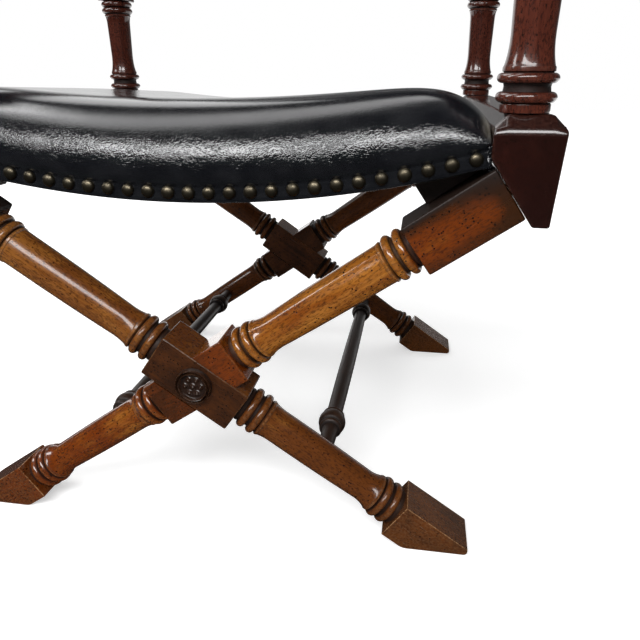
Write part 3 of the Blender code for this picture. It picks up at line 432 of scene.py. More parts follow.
@dataclass(frozen=True)
class WoodFinish:
    """A stained and polished wood."""

    name: str
    light: Colour
    mid: Colour
    dark: Colour
    worn: Colour
    specks: float
    coat: float = 0.35
    relief: float = 0.00025
    dull: float = 0.0
    shine: float = 0.5
    coat_rough: float = 0.08
    bump: float = 0.6
    carried_tone: float = 0.2

    def material(self, effects: Effects, carried: bool = False) -> Material:
        """Return the material.

        Args:
            effects: the shared node groups.
            carried: True for a solid of the frame, which has no grain marks of its own.

        Returns:
            The new material.
        """
        made, g, shader = blank_material(self.name + ("_carried" if carried else ""))
        inputs: Inputs = {"Light": self.light, "Mid": self.mid, "Dark": self.dark, "Worn": self.worn,
                          "Specks": self.specks}
        if carried:
            inputs.update(Grain=g.place(), Wear=0.0, Grime=0.0, Tone=self.carried_tone)
        else:
            inputs["Grain"] = g.attribute("grain", "Vector")
            for label in ("Wear", "Grime", "Tone"):
                inputs[label] = g.attribute(label.lower())
        wood = g.group(effects.wood, inputs)
        rough = g.math('ADD', wood["Roughness"], self.dull) if self.dull else wood["Roughness"]
        g.fill(shader, {"Base Color": wood["Color"], "Roughness": rough, "Specular IOR Level": self.shine,
                        "Coat Weight": g.times(wood["Polish"], self.coat), "Coat Roughness": self.coat_rough})
        add_bump(g, shader, wood["Height"], self.relief, self.bump)
        return made


@dataclass(frozen=True)
class LeatherFinish:
    """Black leather with a creased, polished face."""

    name: str
    relief: float
    shine: float = 0.80
    bump: float = 0.75

    def material(self, effects: Effects) -> Material:
        """Return the material.

        Args:
            effects: the shared node groups.

        Returns:
            The new material.
        """
        made, g, shader = blank_material(self.name)
        # The leather reads how creased it is from the channel that wood uses for grime and painted shade.
        hide = g.group(effects.creases, {"Grain": g.attribute("grain", "Vector"),
                                         "Crease": g.attribute("grime"), "Wear": g.attribute("wear")})
        g.fill(shader, {"Base Color": hide["Color"], "Roughness": hide["Roughness"],
                        "Specular IOR Level": self.shine})
        add_bump(g, shader, hide["Height"], self.relief, self.bump)
        return made


@dataclass(frozen=True)
class MetalFinish:
    """A tarnished metal."""

    name: str
    bright: Colour
    dull: Colour
    relief: float = 0.00008
    bump: float = 0.5

    def material(self, effects: Effects, carried: bool = False) -> Material:
        """Return the material.

        Args:
            effects: the shared node groups.
            carried: True for a solid of the frame, which has no marks of its own.

        Returns:
            The new material.
        """
        made, g, shader = blank_material(self.name + ("_carried" if carried else ""))
        metal = g.group(effects.tarnish, {"Grain": g.place(), "Bright": self.bright, "Dull": self.dull,
                                          "Wear": 0.0 if carried else g.attribute("wear")})
        g.fill(shader, {"Base Color": metal["Color"], "Roughness": metal["Roughness"], "Metallic": 1.0})
        add_bump(g, shader, metal["Height"], self.relief, self.bump)
        return made


@dataclass(frozen=True)
class LiningFinish:
    """Thin black lining cloth with a plain weave."""

    name: str
    thread: float = 0.0011
    threads_per_wave: float = 20.0
    distortion: float = 0.4
    gap: Colour = (0.010, 0.010, 0.010)
    yarn: Colour = (0.030, 0.029, 0.028)
    dust: Colour = (0.075, 0.070, 0.064)
    sheen: float = 0.25
    relief: float = 0.0003
    bump: float = 0.6

    def material(self) -> Material:
        """Weave the material from two crossed sets of bands.

        Returns:
            The new material.
        """
        made, g, shader = blank_material(self.name)
        place = g.attribute("grain", "Vector")
        waves = []
        for across in ((1.0, 0.0, 0.0), (0.0, 1.0, 0.0)):
            inputs = {"Vector": g.vector('DOT_PRODUCT', place, across, output="Value"),
                      "Scale": 1.0 / self.thread / self.threads_per_wave, "Distortion": self.distortion}
            wave = g.node("ShaderNodeTexWave", inputs, wave_type='BANDS', bands_direction='X')
            waves.append(wave.outputs["Fac"])
        weave = g.math('MAXIMUM', *waves)
        dusty = g.noise(place, 35.0, detail=4.0)
        colour = g.mix(g.remap(dusty, 0.5, 0.8, 0.0, 0.35), g.mix(weave, self.gap, self.yarn), self.dust)
        g.fill(shader, {"Base Color": colour, "Roughness": g.math('MULTIPLY_ADD', dusty, 0.2, 0.75),
                        "Sheen Weight": self.sheen})
        add_bump(g, shader, weave, self.relief, self.bump)
        return made


# Meshes with marks

def linked(name: str, data: ID) -> Object:
    """Return a new object, linked to the scene.

    Args:
        name: the object's name.
        data: its mesh, lamp or camera.

    Returns:
        The object.
    """
    made = bpy.data.objects.new(name, data)
    bpy.context.scene.collection.objects.link(made)
    return made


@dataclass
class Shell:
    """Points and faces of one closed or open surface, with its marks point by point.

    A mark is three numbers: worn pale edges; grime, which is dirt with painted shade in grooves and under
    other parts; and how dark the stain is, which also holds painted shade and painted light in places.
    """

    points: list[Vector] = field(default_factory=list)
    faces: list[tuple[int, ...]] = field(default_factory=list)
    marks: list[Mark] = field(default_factory=list)
    grain: list[Vector] = field(default_factory=list)

    def put(self, point: Vector, grain: Vector, mark: Mark = (0.0, 0.0, 0.0)) -> None:
        """Add one point.

        Args:
            point: where it is.
            grain: its place in the grain.
            mark: its wear, grime and tone.
        """
        self.points.append(point)
        self.grain.append(grain)
        self.marks.append(mark)

    def add(self, other: Shell) -> None:
        """Take in another shell's points and faces.

        Args:
            other: the shell to copy from.
        """
        base = len(self.points)
        self.points += other.points
        self.faces += [tuple(i + base for i in face) for face in other.faces]
        self.marks += other.marks
        self.grain += other.grain

    def moved(self, matrix: Matrix, with_grain: bool = False) -> Shell:
        """Return a copy placed by a matrix, with its grain moved along or left as it was."""
        points = [matrix @ p for p in self.points]
        return Shell(points, list(self.faces), list(self.marks), list(points if with_grain else self.grain))

    def grid(self, rows: int, columns: int, wrap: bool = False) -> None:
        """Add the faces of a grid of points stored row by row from index 0.

        Args:
            rows: number of rows.
            columns: points in a row.
            wrap: whether each row closes on itself.
        """
        for i in range(rows - 1):
            for j in range(columns if wrap else columns - 1):
                k = (j + 1) % columns
                low, high = i * columns, (i + 1) * columns
                self.faces.append((low + j, low + k, high + k, high + j))

    def tube(self, rows: int, columns: int) -> None:
        """Add the faces of a grid whose rows close on themselves, with a cap at either end."""
        self.grid(rows, columns, wrap=True)
        self.faces += [tuple(range(columns)), tuple(range((rows - 1) * columns, rows * columns))]

    def to_object(self, name: str, material: Material, seed: int = 0,
                  edges: Edges = Edges.FLAT_FACED) -> Object:
        """Make the object, with its marks as mesh attributes.

        Args:
            name: the object's name.
            material: its finish.
            seed: moves the grain, so that no two pieces match.
            edges: how sharp its smooth edges may be.

        Returns:
            The linked object.
        """
        mesh = bpy.data.meshes.new(name)
        mesh.from_pydata([p[:] for p in self.points], [], self.faces)
        mesh.update()
        bm = bmesh.new()
        bm.from_mesh(mesh)
        bmesh.ops.recalc_face_normals(bm, faces=bm.faces[:])
        bm.to_mesh(mesh)
        bm.free()
        shift = GRAIN_SHIFT * seed
        grain = mesh.attributes.new("grain", 'FLOAT_VECTOR', 'POINT')
        grain.data.foreach_set("vector", np.array([(p + shift)[:] for p in self.grain], np.float32).ravel())
        for index, label in enumerate(("wear", "grime", "tone")):
            layer = mesh.attributes.new(label, 'FLOAT', 'POINT')
            layer.data.foreach_set("value", np.array([m[index] for m in self.marks], np.float32))
        mesh.shade_smooth()
        mesh.set_sharp_from_angle(angle=math.radians(edges.value))
        mesh.materials.append(material)
        made = linked(name, mesh)
        if edges is Edges.FLAT_FACED:
            normals = made.modifiers.new("flat_faces", 'WEIGHTED_NORMAL')
            normals.keep_sharp = True
        return made


def from_bmesh(bm: BMesh, mark: Marker) -> Shell:
    """Turn a bmesh into a shell and free it.

    Args:
        bm: the source.
        mark: gives a point's wear, grime and tone.

    Returns:
        The shell, with its grain in its own coordinates.
    """
    bm.verts.index_update()
    shell = Shell([v.co.copy() for v in bm.verts], [tuple(v.index for v in f.verts) for f in bm.faces])
    bm.free()
    shell.marks = [mark(p) for p in shell.points]
    shell.grain = [p.copy() for p in shell.points]
    return shell


def rectangle(start: float, end: float, half: float) -> Outline:
    """Return the corners of a rectangle, from start to end and half a width to either side."""
    return [(start, -half), (end, -half), (end, half), (start, half)]


def loft_bmesh(rings: Sequence[Sequence[Sequence[float]]]) -> BMesh:
    """Return a solid drawn through rings of corners and closed at both ends.

    Args:
        rings: the corners of each ring, all in the same order.

    Returns:
        The bmesh.
    """
    bm = bmesh.new()
    made = [[bm.verts.new(corner) for corner in ring] for ring in rings]
    count = len(made[0])
    for first, second in zip(made, made[1:]):
        for i in range(count):
            j = (i + 1) % count
            bm.faces.new((first[i], first[j], second[j], second[i]))
    bm.faces.new(made[0])
    bm.faces.new(made[-1])
    bmesh.ops.recalc_face_normals(bm, faces=bm.faces[:])
    return bm


def prism_bmesh(outline: Outline, start: float, end: float, along: Axis = Axis.Y) -> BMesh:
    """Return an outline drawn in XZ and extruded along Y, or drawn in XY and extruded along Z."""
    order = (lambda a, b, at: (a, at, b)) if along is Axis.Y else (lambda a, b, at: (a, b, at))
    return loft_bmesh([[order(a, b, at) for a, b in outline] for at in (start, end)])


def round_edges(bm: BMesh, width: float, steps: int = 3,
                edges: Sequence[BMEdge] | None = None) -> None:
    """Round edges of a bmesh.

    Args:
        bm: the mesh.
        width: how far the rounding reaches.
        steps: faces across it.
        edges: which edges, or None for every sharp one.
    """
    if edges is None:
        edges = [e for e in bm.edges if e.is_manifold and e.calc_face_angle(0.0) > FLAT_EDGE]
    bmesh.ops.bevel(bm, geom=edges, offset=width, segments=steps, profile=0.5, affect='EDGES',
                    clamp_overlap=True)


def face_planes(bm: BMesh) -> Planes:
    """Return the planes of a bmesh's faces: outward normals and distances from the origin."""
    bm.normal_update()
    return [(f.normal.copy(), f.normal.dot(f.verts[0].co)) for f in bm.faces]


def on_planes(point: Vector, planes: Planes) -> bool:
    """Return whether a point lies on any of some planes."""
    return any(abs(point.dot(normal) - reach) < ON_FACE for normal, reach in planes)


def edge_marks(planes: Planes, tone: Callable[[Vector], float], wear: float) -> Marker:
    """Return a marker that wears the rounded edges between the planes of a flat-faced piece."""
    return lambda point: (0.0 if on_planes(point, planes) else wear, 0.0, tone(point))


def boolean_difference(whole: BMesh, tool: BMesh) -> BMesh:
    """Return one solid less another, and free both.

    Args:
        whole: the solid to cut.
        tool: the solid that cuts it.

    Returns:
        The cut solid.
    """
    objects = []
    for label, source in (("whole", whole), ("tool", tool)):
        mesh = bpy.data.meshes.new(label)
        source.to_mesh(mesh)
        source.free()
        objects.append(linked(label, mesh))
    cut = objects[0].modifiers.new("cut", 'BOOLEAN')
    cut.operation = 'DIFFERENCE'
    cut.solver = 'EXACT'
    cut.object = objects[1]
    result = bmesh.new()
    result.from_object(objects[0], bpy.context.evaluated_depsgraph_get())
    for made in objects:
        mesh = made.data
        bpy.data.objects.remove(made, do_unlink=True)
        bpy.data.meshes.remove(mesh)
    return result


def hash_of(name: str) -> int:
    """Return a small number that stays the same for a name."""
    return sum((i + 1) * ord(letter) for i, letter in enumerate(name)) % 97


def settle_piece(made: Object, slot: Slot, *nodes: str) -> None:
    """Let a piece ride on the chair, hide the solids it stands for and log their names.

    Args:
        made: the piece.
        slot: its material slot; not used.
        nodes: the solids it replaces.
    """
    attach(made, BODY)
    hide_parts(*nodes)
    LOG.info("built %s for %s", made.name, ", ".join(nodes))


def dress(shell: Shell, node: str, ending: str, slot: Slot, finishes: Finishes,
          edges: Edges = Edges.FLAT_FACED) -> None:
    """Make the piece that stands for one solid, named after it, with a grain of its own."""
    settle_piece(shell.to_object(f"{node}_{ending}", finishes[slot], hash_of(node), edges), slot, node)


# Turning

@dataclass
class Turning:
    """A turned outline, from one end to the other, with its marks.

    A station is (place on the axis, radius, how worn it is, how much grime it has: dirt with painted shade).
    """

    stations: list[tuple[float, float, float, float]] = field(default_factory=list)

    def at(self, along: float, radius: float, wear: float = 0.0, grime: float = 0.0) -> Turning:
        """Add one station and return this turning."""
        self.stations.append((along, radius, wear, grime))
        return self

    def run(self, *stations: tuple[float, ...]) -> Turning:
        """Add several stations, whose wear and grime may be left out, and return this turning."""
        self.stations += [(*station, 0.0, 0.0)[:4] for station in stations]
        return self

    def bead(self, centre: float, half: float, groove: float, crest: float, steps: int = 12) -> None:
        """Add a half-round bead between two grooves, scuffed on its crest, with dirt and painted shade low
        down beside it.

        Args:
            centre: place of its crest.
            half: half its width.
            groove: radius in the grooves beside it.
            crest: radius at the crest.
            steps: stations across it.
        """
        for k in range(steps + 1):
            swing = -math.cos(math.pi * k / steps)
            lift = math.sqrt(max(1 - swing * swing, 0.0)) ** 0.85
            # Low down beside the crest the grime is dirt with painted shade, darkest in the grooves.
            wear, grime = max(lift - 0.80, 0.0) * 0.7, clamped(max(0.74 - lift, 0.0) * 2.4)
            self.at(centre + swing * half, groove + (crest - groove) * lift, wear, grime)

    def sweep(self, end: float, radius: float, steps: int, shape: float) -> Turning:
        """Add a hollow sweep from the last station to a slimmer or wider one.

        Args:
            end: place where it ends.
            radius: radius there.
            steps: stations on it.
            shape: 1 is straight, more is hollower.

        Returns:
            This turning.
        """
        start, first = self.stations[-1][:2]
        for k in range(1, steps + 1):
            share = k / steps
            eased = 1 - (1 - share) ** shape if radius < first else share ** shape
            self.at(start + (end - start) * share, first + (radius - first) * eased)
        return self

    def mirrored(self, length: float) -> Turning:
        """Return the same stations run from the far end, which becomes 0."""
        return Turning([(length - a, r, w, d) for a, r, w, d in reversed(self.stations)])

    def joined(self, other: Turning) -> Turning:
        """Return this turning followed by another."""
        return Turning(self.stations + other.stations)

    def shell(self, tone: Tone, axis: Axis = Axis.Z, steps: int = TURN_STEPS) -> Shell:
        """Return the turned surface, closed at both ends.

        Args:
            tone: gives the stain at a place on the axis.
            axis: X or Z.
            steps: faces round the axis.

        Returns:
            The shell, its grain along its first coordinate.
        """
        made = Shell()
        for along, radius, wear, grime in self.stations:
            for i in range(steps):
                angle = 2 * math.pi * i / steps
                a, b = radius * math.cos(angle), radius * math.sin(angle)
                point = Vector((along, a, b)) if axis is Axis.X else Vector((a, b, along))
                made.put(point, Vector((along, a, b)), (wear, grime, tone(along)))
        made.tube(len(self.stations), steps)
        return made


# X frames

# Stain along a leg, by the distance from the crossing, which is negative towards the foot
LEG_PLACES = (-0.33, -0.262, -0.25, -0.16, -0.06, -0.05, 0.05, 0.06, 0.25, 0.264, 0.36)
REAR_LEG_SHADES = (0.60, 0.60, 0.60, 0.62, 0.66, 0.80, 0.80, 0.68, 0.66, 0.74, 0.80)
LAPPED_LEG_SHADES = (0.72, 0.70, 0.54, 0.50, 0.44, 0.92, 0.92, 0.38, 0.16, 0.3, 0.4)
PLAIN_LEG_SHADES = (0.72, 0.70, 0.52, 0.40, 0.34, 0.86, 0.60, 0.20, 0.06, 0.46, 0.50)


@dataclass
class XFrames:
    """The two X frames: four turned legs, half-lapped in pairs, with a rosette on each crossing."""

    finishes: Finishes
    browner: Finishes
    half: float = LEG_STOCK / 2
    block_half: float = 0.053
    block_paler_top: float = 0.46
    block_wear: float = 0.18
    notch_half: float = 0.1
    notch_past: float = 0.01
    upper: float = 0.357
    top_block: float = 0.0935
    top_cuts_in: tuple[float, ...] = (0.004, 0.010, 0.018, 0.028, 0.048)
    top_cuts_up: tuple[float, ...] = (-0.008, 0.004, 0.012, 0.019)
    heel: float = 0.028
    foot_width: float = 0.046
    toe: float = 0.0075
    sole_edge: float = 0.0045
    sole_skin: float = 0.002
    foot_edge: float = 0.0016
    foot_wear: float = 0.12
    sole_wear: float = 0.6
    bead_half: float = 0.0044
    bead_groove: float = 0.0187
    bead_crest: float = 0.0236
    neck: float = 0.0203
    arm_end: float = 0.046
    shaft_near: float = 0.0185
    shaft_top: float = 0.0202
    shaft_foot: float = 0.0172
    shaft_swell: float = 0.0005
    edge: float = 0.0018
    rosette_r: float = 0.0195
    rosette_depth: float = 0.0075
    rosette_rings: int = 44
    rosette_steps: int = 120
    rosette_tone: float = 0.35

    def build(self) -> None:
        """Build every leg and rosette."""
        for end in End:
            turned = Matrix.Rotation(0.0 if end is End.FRONT else math.pi, 4, 'Z')
            carrier = Matrix.Translation((0.0, end.value * FRAME_Y, CROSSING_Z)) @ turned
            for side in (Side(end.value), Side(-end.value)):
                self.build_leg(f"{end.word}_{side.word}_leg", carrier, side.value != end.value, end)
            self.build_rosette(end, carrier)

    def turned_end(self, shaft: float) -> Turning:
        """Return the end of an arm: a neck, two beads, a fillet and the sweep to the shaft.

        Args:
            shaft: radius of the shaft.

        Returns:
            The outline, 0 at the block.
        """
        # The neck by the block is dark: dirt, with painted shade.
        made = Turning().run((-0.002, self.neck - 0.001, 0.0, 1.0), (0.0006, self.neck - 0.001, 0.0, 1.0),
                             (0.0034, self.neck - 0.0006, 0.0, 0.9))
        for centre in (0.0096, 0.0214):
            made.bead(centre, self.bead_half, self.bead_groove, self.bead_crest)
        made.run((0.0276, 0.0204, 0.0, 0.5), (0.0282, 0.0212, 0.25, 0.1), (0.0302, 0.0211, 0.2),
                 (0.0308, 0.0204, 0.0, 0.3))
        return made.sweep(self.arm_end, shaft, 10, 2.2)

    def arm(self, length: float, far: float) -> Turning:
        """Return one turned arm between the crossing block and the far block.

        Args:
            length: distance between the blocks.
            far: radius of the shaft at its far end.

        Returns:
            The outline, 0 at the crossing block.
        """
        middle = Turning()
        for k in range(1, 12):
            share = k / 12
            radius = self.shaft_near + (far - self.shaft_near) * share
            middle.at(self.arm_end + (length - 2 * self.arm_end) * share,
                      radius + self.shaft_swell * math.sin(math.pi * share))
        near, last = self.turned_end(self.shaft_near), self.turned_end(far).mirrored(length)
        return near.joined(middle).joined(last)

    def top_mark(self, inward: float, rise: float, tone: float) -> Mark:
        """Return the top block's marks: darker stain and painted shadow of the seat at the rail and on top,
        and darker towards its bottom.

        Args:
            inward: distance from the rail.
            rise: height on the block, 0 at its middle.
            tone: the leg's stain there.

        Returns:
            The mark.
        """
        # Darker at the rail and towards the top: stain, with painted shadow of the seat.
        tone += ramp(inward, (0.0, 0.004, 0.010, 0.018, 0.028), (0.8, 0.6, 0.34, 0.14, 0.0))
        tone += ramp(rise, (0.004, 0.012, 0.019, self.half), (0.0, 0.08, 0.40, 0.95))
        # Darker towards the bottom.
        tone += ramp(rise, (-self.half, -0.008), (0.34, 0.0))
        # Grime here is painted shadow of the seat, at the rail and on the top face and its arris.
        grime = ramp(inward, (0.0, 0.018, 0.048), (1.0, 0.75, 0.0))
        grime *= ramp(rise, (-0.008, 0.004, 0.012, 0.019, self.half), (0.0, 0.2, 0.5, 0.85, 1.0))
        return 0.0, 0.9 if rise > self.half - self.edge - TOUCH else grime, tone

    def top_end(self, tone: Tone) -> Shell:
        """Return the square top block, darker towards the rail and under the seat: stain with painted shadow
        of the seat.

        Args:
            tone: the leg's stain.

        Returns:
            The shell.
        """
        start, end = self.upper - self.top_block, self.upper - HAIR
        bm = prism_bmesh(rectangle(start, end, self.half), -self.half, self.half)
        bm.normal_update()
        round_edges(bm, self.edge)
        # Cuts across the faces let the marks change there.
        cuts = [(Vector((end - inward, 0, 0)), Vector((1, 0, 0))) for inward in self.top_cuts_in]
        cuts += [(Vector((0, 0, rise)), Vector((0, 0, 1))) for rise in self.top_cuts_up]
        for at, normal in cuts:
            geometry = bm.verts[:] + bm.edges[:] + bm.faces[:]
            bmesh.ops.bisect_plane(bm, geom=geometry, plane_co=at, plane_no=normal)
        return from_bmesh(bm, lambda p: self.top_mark(end - p.x, p.z, tone(p.x)))

    def crossing_block(self, tone: Tone) -> Shell:
        """Return the crossing block, notched over the half that the other leg fills.

        In both legs of a pair the notched half lies at -Y of the leg's own frame.

        Args:
            tone: the leg's stain.

        Returns:
            The shell.
        """
        whole = prism_bmesh(rectangle(-self.block_half, self.block_half, self.half), -self.half, self.half)
        swing = Matrix.Rotation(2 * LEG_ANGLE, 3, 'Y')
        corners = [swing @ Vector((a, 0.0, b))
                   for a, b in rectangle(-self.notch_half, self.notch_half, self.half + HAIR)]
        notch = prism_bmesh([(c.x, c.z) for c in corners], -(self.half + self.notch_past), HAIR / 2)
        planes = face_planes(whole) + face_planes(notch)
        solid = boolean_difference(whole, notch)
        round_edges(solid, self.edge, edges=[e for e in solid.edges if self.is_arris(e)])
        top = self.half - TOP_SKIN
        # Its upward faces are stained paler: painted light from above.
        return from_bmesh(solid, edge_marks(
            planes, lambda p: tone(p.x) - (self.block_paler_top if p.z > top else 0.0), self.block_wear))

    def is_arris(self, edge: BMEdge) -> bool:
        """Return whether an edge of a notched block is one of the plain block's edges."""
        spans = zip(*(v.co for v in edge.verts), (self.block_half, self.half, self.half))
        return sum(abs(abs(a) - limit) < TOUCH and abs(a - b) < TOUCH for a, b, limit in spans) >= 2

    def foot(self, tone: Tone) -> tuple[Shell, float]:
        """Return the spear foot, cut level along the floor, and where it starts on the leg.

        Args:
            tone: the leg's stain.

        Returns:
            The shell and its distance from the crossing.
        """
        cos, sin = math.cos(LEG_ANGLE), math.sin(LEG_ANGLE)
        half = self.foot_width / 2
        heel = (CROSSING_Z - half * cos) / sin
        start = heel - self.heel
        toe = (CROSSING_Z + half * cos - self.toe) / sin
        # The toe is blunt: it falls straight to the floor from the end of the upper face.
        floor_toe = (-toe - self.toe * sin, half - self.toe * cos)
        outline = [(-start, -half), (-heel, -half), floor_toe, (-toe, half), (-start, half)]
        bm = prism_bmesh(outline, -self.half, self.half)
        planes = face_planes(bm)
        sole_ends = [e for e in bm.edges if self.is_sole_end(e, (-heel, floor_toe[0]))]
        round_edges(bm, self.sole_edge, 4, sole_ends)
        round_edges(bm, self.foot_edge)
        return from_bmesh(bm, lambda p: (self.foot_wear_at(p, planes), 0.0, tone(p.x))), start

    def foot_wear_at(self, point: Vector, planes: Planes) -> float:
        """Return how worn the foot is: least on its faces and most at the edges above its sole.

        Args:
            point: a point of the foot.
            planes: the foot's faces.

        Returns:
            The wear.
        """
        if on_planes(point, planes):
            return self.foot_wear
        height = point.x * math.sin(LEG_ANGLE) + point.z * math.cos(LEG_ANGLE) + CROSSING_Z
        return self.sole_wear if abs(height) < self.sole_skin else 1.0

    def is_sole_end(self, edge: BMEdge, ends: tuple[float, float]) -> bool:
        """Return whether an edge of the foot crosses its sole at the heel or the toe."""
        first, second = (v.co for v in edge.verts)
        return abs(first.y - second.y) > self.half and any(abs(first.x - x) < TOUCH for x in ends)

    def build_leg(self, name: str, carrier: Matrix, lapped_inside: bool, end: End) -> None:
        """Build one leg.

        Args:
            name: the leg's node.
            carrier: the frame's placement.
            lapped_inside: True for the leg that runs on across the outer face.
            end: which frame.
        """
        shades = LAPPED_LEG_SHADES if lapped_inside else PLAIN_LEG_SHADES
        tone = partial(ramp, places=LEG_PLACES, results=REAR_LEG_SHADES if end is End.REAR else shades)
        foot, foot_start = self.foot(tone)
        leg = self.crossing_block(tone)
        leg.add(foot)
        leg.add(self.top_end(tone))
        upper = self.arm(self.upper - self.top_block - self.block_half, self.shaft_top)
        lower = self.arm(foot_start - self.block_half, self.shaft_foot)
        along = Matrix.Translation((self.block_half, 0, 0))
        shell = upper.shell(lambda d: tone(self.block_half + d), Axis.X)
        leg.add(shell.moved(along, with_grain=True))
        back = Matrix.Rotation(math.pi, 4, 'Z') @ along
        shell = lower.shell(lambda d: tone(-self.block_half - d), Axis.X)
        leg.add(shell.moved(back, with_grain=True))
        turn = Matrix.Rotation(math.pi if lapped_inside else 0.0, 4, 'Z')
        place = carrier @ turn @ Matrix.Rotation(-LEG_ANGLE, 4, 'Y')
        finishes = self.browner if lapped_inside or end is End.REAR else self.finishes
        dress(leg.moved(place), name, "turned", Slot.LEG_WOOD, finishes)

    def rosette_height(self, share: float, angle: float) -> float:
        """Return the carved height of a rosette, as a share of its depth.

        Args:
            share: distance from the centre, 1 at the rim.
            angle: angle round the centre.

        Returns:
            The height.
        """
        rim = bell(share, 0.93, 0.045) * 0.80
        inner_rim = bell(share, 0.77, 0.045) * 0.86
        petal = (math.cos(3.0 * angle) ** 2) ** 1.5
        petals = bell(share, 0.43, 0.12) * (0.08 + 0.62 * petal)
        boss = bell(share, 0.0, 0.13) * 0.66
        skirt = clamped((1.0 - share) / 0.04) * 0.30
        return max(rim, inner_rim, petals, boss, 0.06) * 0.75 + skirt * 0.8

    def build_rosette(self, end: End, carrier: Matrix) -> None:
        """Build the carved rosette on a crossing's outer face.

        Args:
            end: which frame.
            carrier: the frame's placement.
        """
        made = Shell()
        for i in range(self.rosette_rings + 1):
            share = 1.0 - i / self.rosette_rings * 0.985
            radius = self.rosette_r * share
            for j in range(self.rosette_steps):
                angle = 2 * math.pi * j / self.rosette_steps
                height = 0.0 if i == 0 else self.rosette_height(share, angle)
                x, z = radius * math.cos(angle), radius * math.sin(angle)
                point = Vector((x, -height * self.rosette_depth, z))
                # Grime marks dirt, with painted shade, in the low parts of the carving.
                wear, grime = max(height - 0.62, 0.0) * 1.3, clamped(max(0.42 - height, 0.0) * 2.2)
                made.put(point, point, (wear, grime, self.rosette_tone))
        made.tube(self.rosette_rings + 1, self.rosette_steps)
        place = carrier @ Matrix.Translation((0.0, -self.half - HAIR, 0.0))
        dress(made.moved(place), end.word + "_rosette", "carved", Slot.DARK_WOOD, self.finishes, Edges.TURNED)


# Stretchers, rails, posts and armrests

@dataclass
class Stretchers:
    """The two slim stretchers between the lower legs."""

    finishes: Finishes
    x: float = 0.13056
    z: float = 0.09126
    half: float = 0.2425
    bulb_at: float = 0.184
    shaft: float = 0.0095
    swell: float = 0.0009
    tone: float = 0.35
    steps: int = 48

    def outline(self) -> Turning:
        """Return one half of a stretcher: a shaft, a bulb between two rings and a tenon.

        Returns:
            The outline, 0 at the middle.
        """
        made = Turning().at(0.0, self.shaft + self.swell)
        for k in range(1, 8):
            made.at(self.bulb_at * 0.89 * k / 8, self.shaft + self.swell * (1 - (k / 8) ** 2))
        at = self.bulb_at
        # Grime marks dirt, with painted shade, beside the rings and where the tenon enters the leg.
        made.at(at - 0.0195, self.shaft, 0.0, 0.2)
        made.bead(at - 0.0128, 0.0034, 0.0100, 0.0137, 8)
        made.bead(at, 0.0090, 0.0112, 0.0162, 14)
        made.bead(at + 0.0128, 0.0034, 0.0100, 0.0137, 8)
        return made.run((at + 0.0195, self.shaft, 0.0, 0.3), (self.half - 0.024, self.shaft - 0.0004),
                        (self.half - 0.010, self.shaft - 0.0010, 0.0, 0.2),
                        (self.half, self.shaft - 0.0014, 0.0, 0.9))

    def build(self) -> None:
        """Build both stretchers."""
        one = self.outline()
        whole = Turning(one.stations[1:]).mirrored(0.0).joined(one)
        level = Matrix.Rotation(math.pi / 2, 4, 'X')
        for side in Side:
            place = Matrix.Translation((side.value * self.x, 0.0, self.z)) @ level
            shell = whole.shell(lambda s: self.tone, Axis.Z, self.steps).moved(place)
            dress(shell, side.word + "_stretcher", "turned", Slot.DARK_WOOD, self.finishes, Edges.TURNED)


@dataclass
class SideRails:
    """The two side rails, of shield section with chamfered tops."""

    finishes: Finishes
    inner_x: float = 0.27295
    arris_z: float = 0.41481
    bottom_x: float = 0.31193
    bottom_z: float = 0.35873
    top_w: float = 0.058
    foot_w: float = 0.0142
    chamfer: float = 0.011
    half: float = 0.285
    edge: float = 0.0022
    end_round: float = 0.0055
    flat_join: float = math.radians(1.5)
    top_tone: float = 0.60
    tone: float = 0.92
    wear: float = 0.12

    def section(self, drop: float) -> Outline:
        """Return the right rail's section with its top lowered.

        Args:
            drop: how far the top is lowered.

        Returns:
            Corners in X and Z.
        """
        outer = self.inner_x + self.top_w
        shoulder = RAIL_TOP_Z - self.chamfer
        top = RAIL_TOP_Z - drop
        return [(self.inner_x, self.arris_z), (self.inner_x, shoulder), (self.inner_x + self.chamfer, top),
                (outer - self.chamfer, top), (outer, shoulder), (self.bottom_x + self.foot_w, self.bottom_z),
                (self.bottom_x, self.bottom_z)]

    def is_end_arris(self, edge: BMEdge) -> bool:
        """Return whether an edge of the plain rail lies under the chamfer at one of its ends."""
        low = RAIL_TOP_Z - self.chamfer - 1e-3
        return all(abs(v.co.y) > self.half - TOUCH and v.co.z > low for v in edge.verts)

    def build(self) -> None:
        """Build both rails."""
        inner = self.half - self.chamfer
        low = self.chamfer - HAIR
        top = RAIL_TOP_Z - TOP_SKIN
        ends = ((-self.half, low), (-inner, 0.0), (inner, 0.0), (self.half, low))
        for side in Side:
            bm = loft_bmesh([[(side.value * x, y, z) for x, z in self.section(drop)] for y, drop in ends])
            bmesh.ops.dissolve_limit(bm, angle_limit=self.flat_join, verts=bm.verts[:], edges=bm.edges[:])
            planes = face_planes(bm)
            round_edges(bm, self.end_round, 8, [e for e in bm.edges if self.is_end_arris(e)])
            round_edges(bm, self.edge, 4)
            # The top faces are stained paler than the rest: painted light.
            shell = from_bmesh(bm, edge_marks(
                planes, lambda p: self.top_tone if p.z > top else self.tone, self.wear))
            shell.grain = [Vector((p.y, p.x, p.z)) for p in shell.points]
            dress(shell, side.word + "_side_rail", "polished", Slot.RAIL_WOOD, self.finishes)


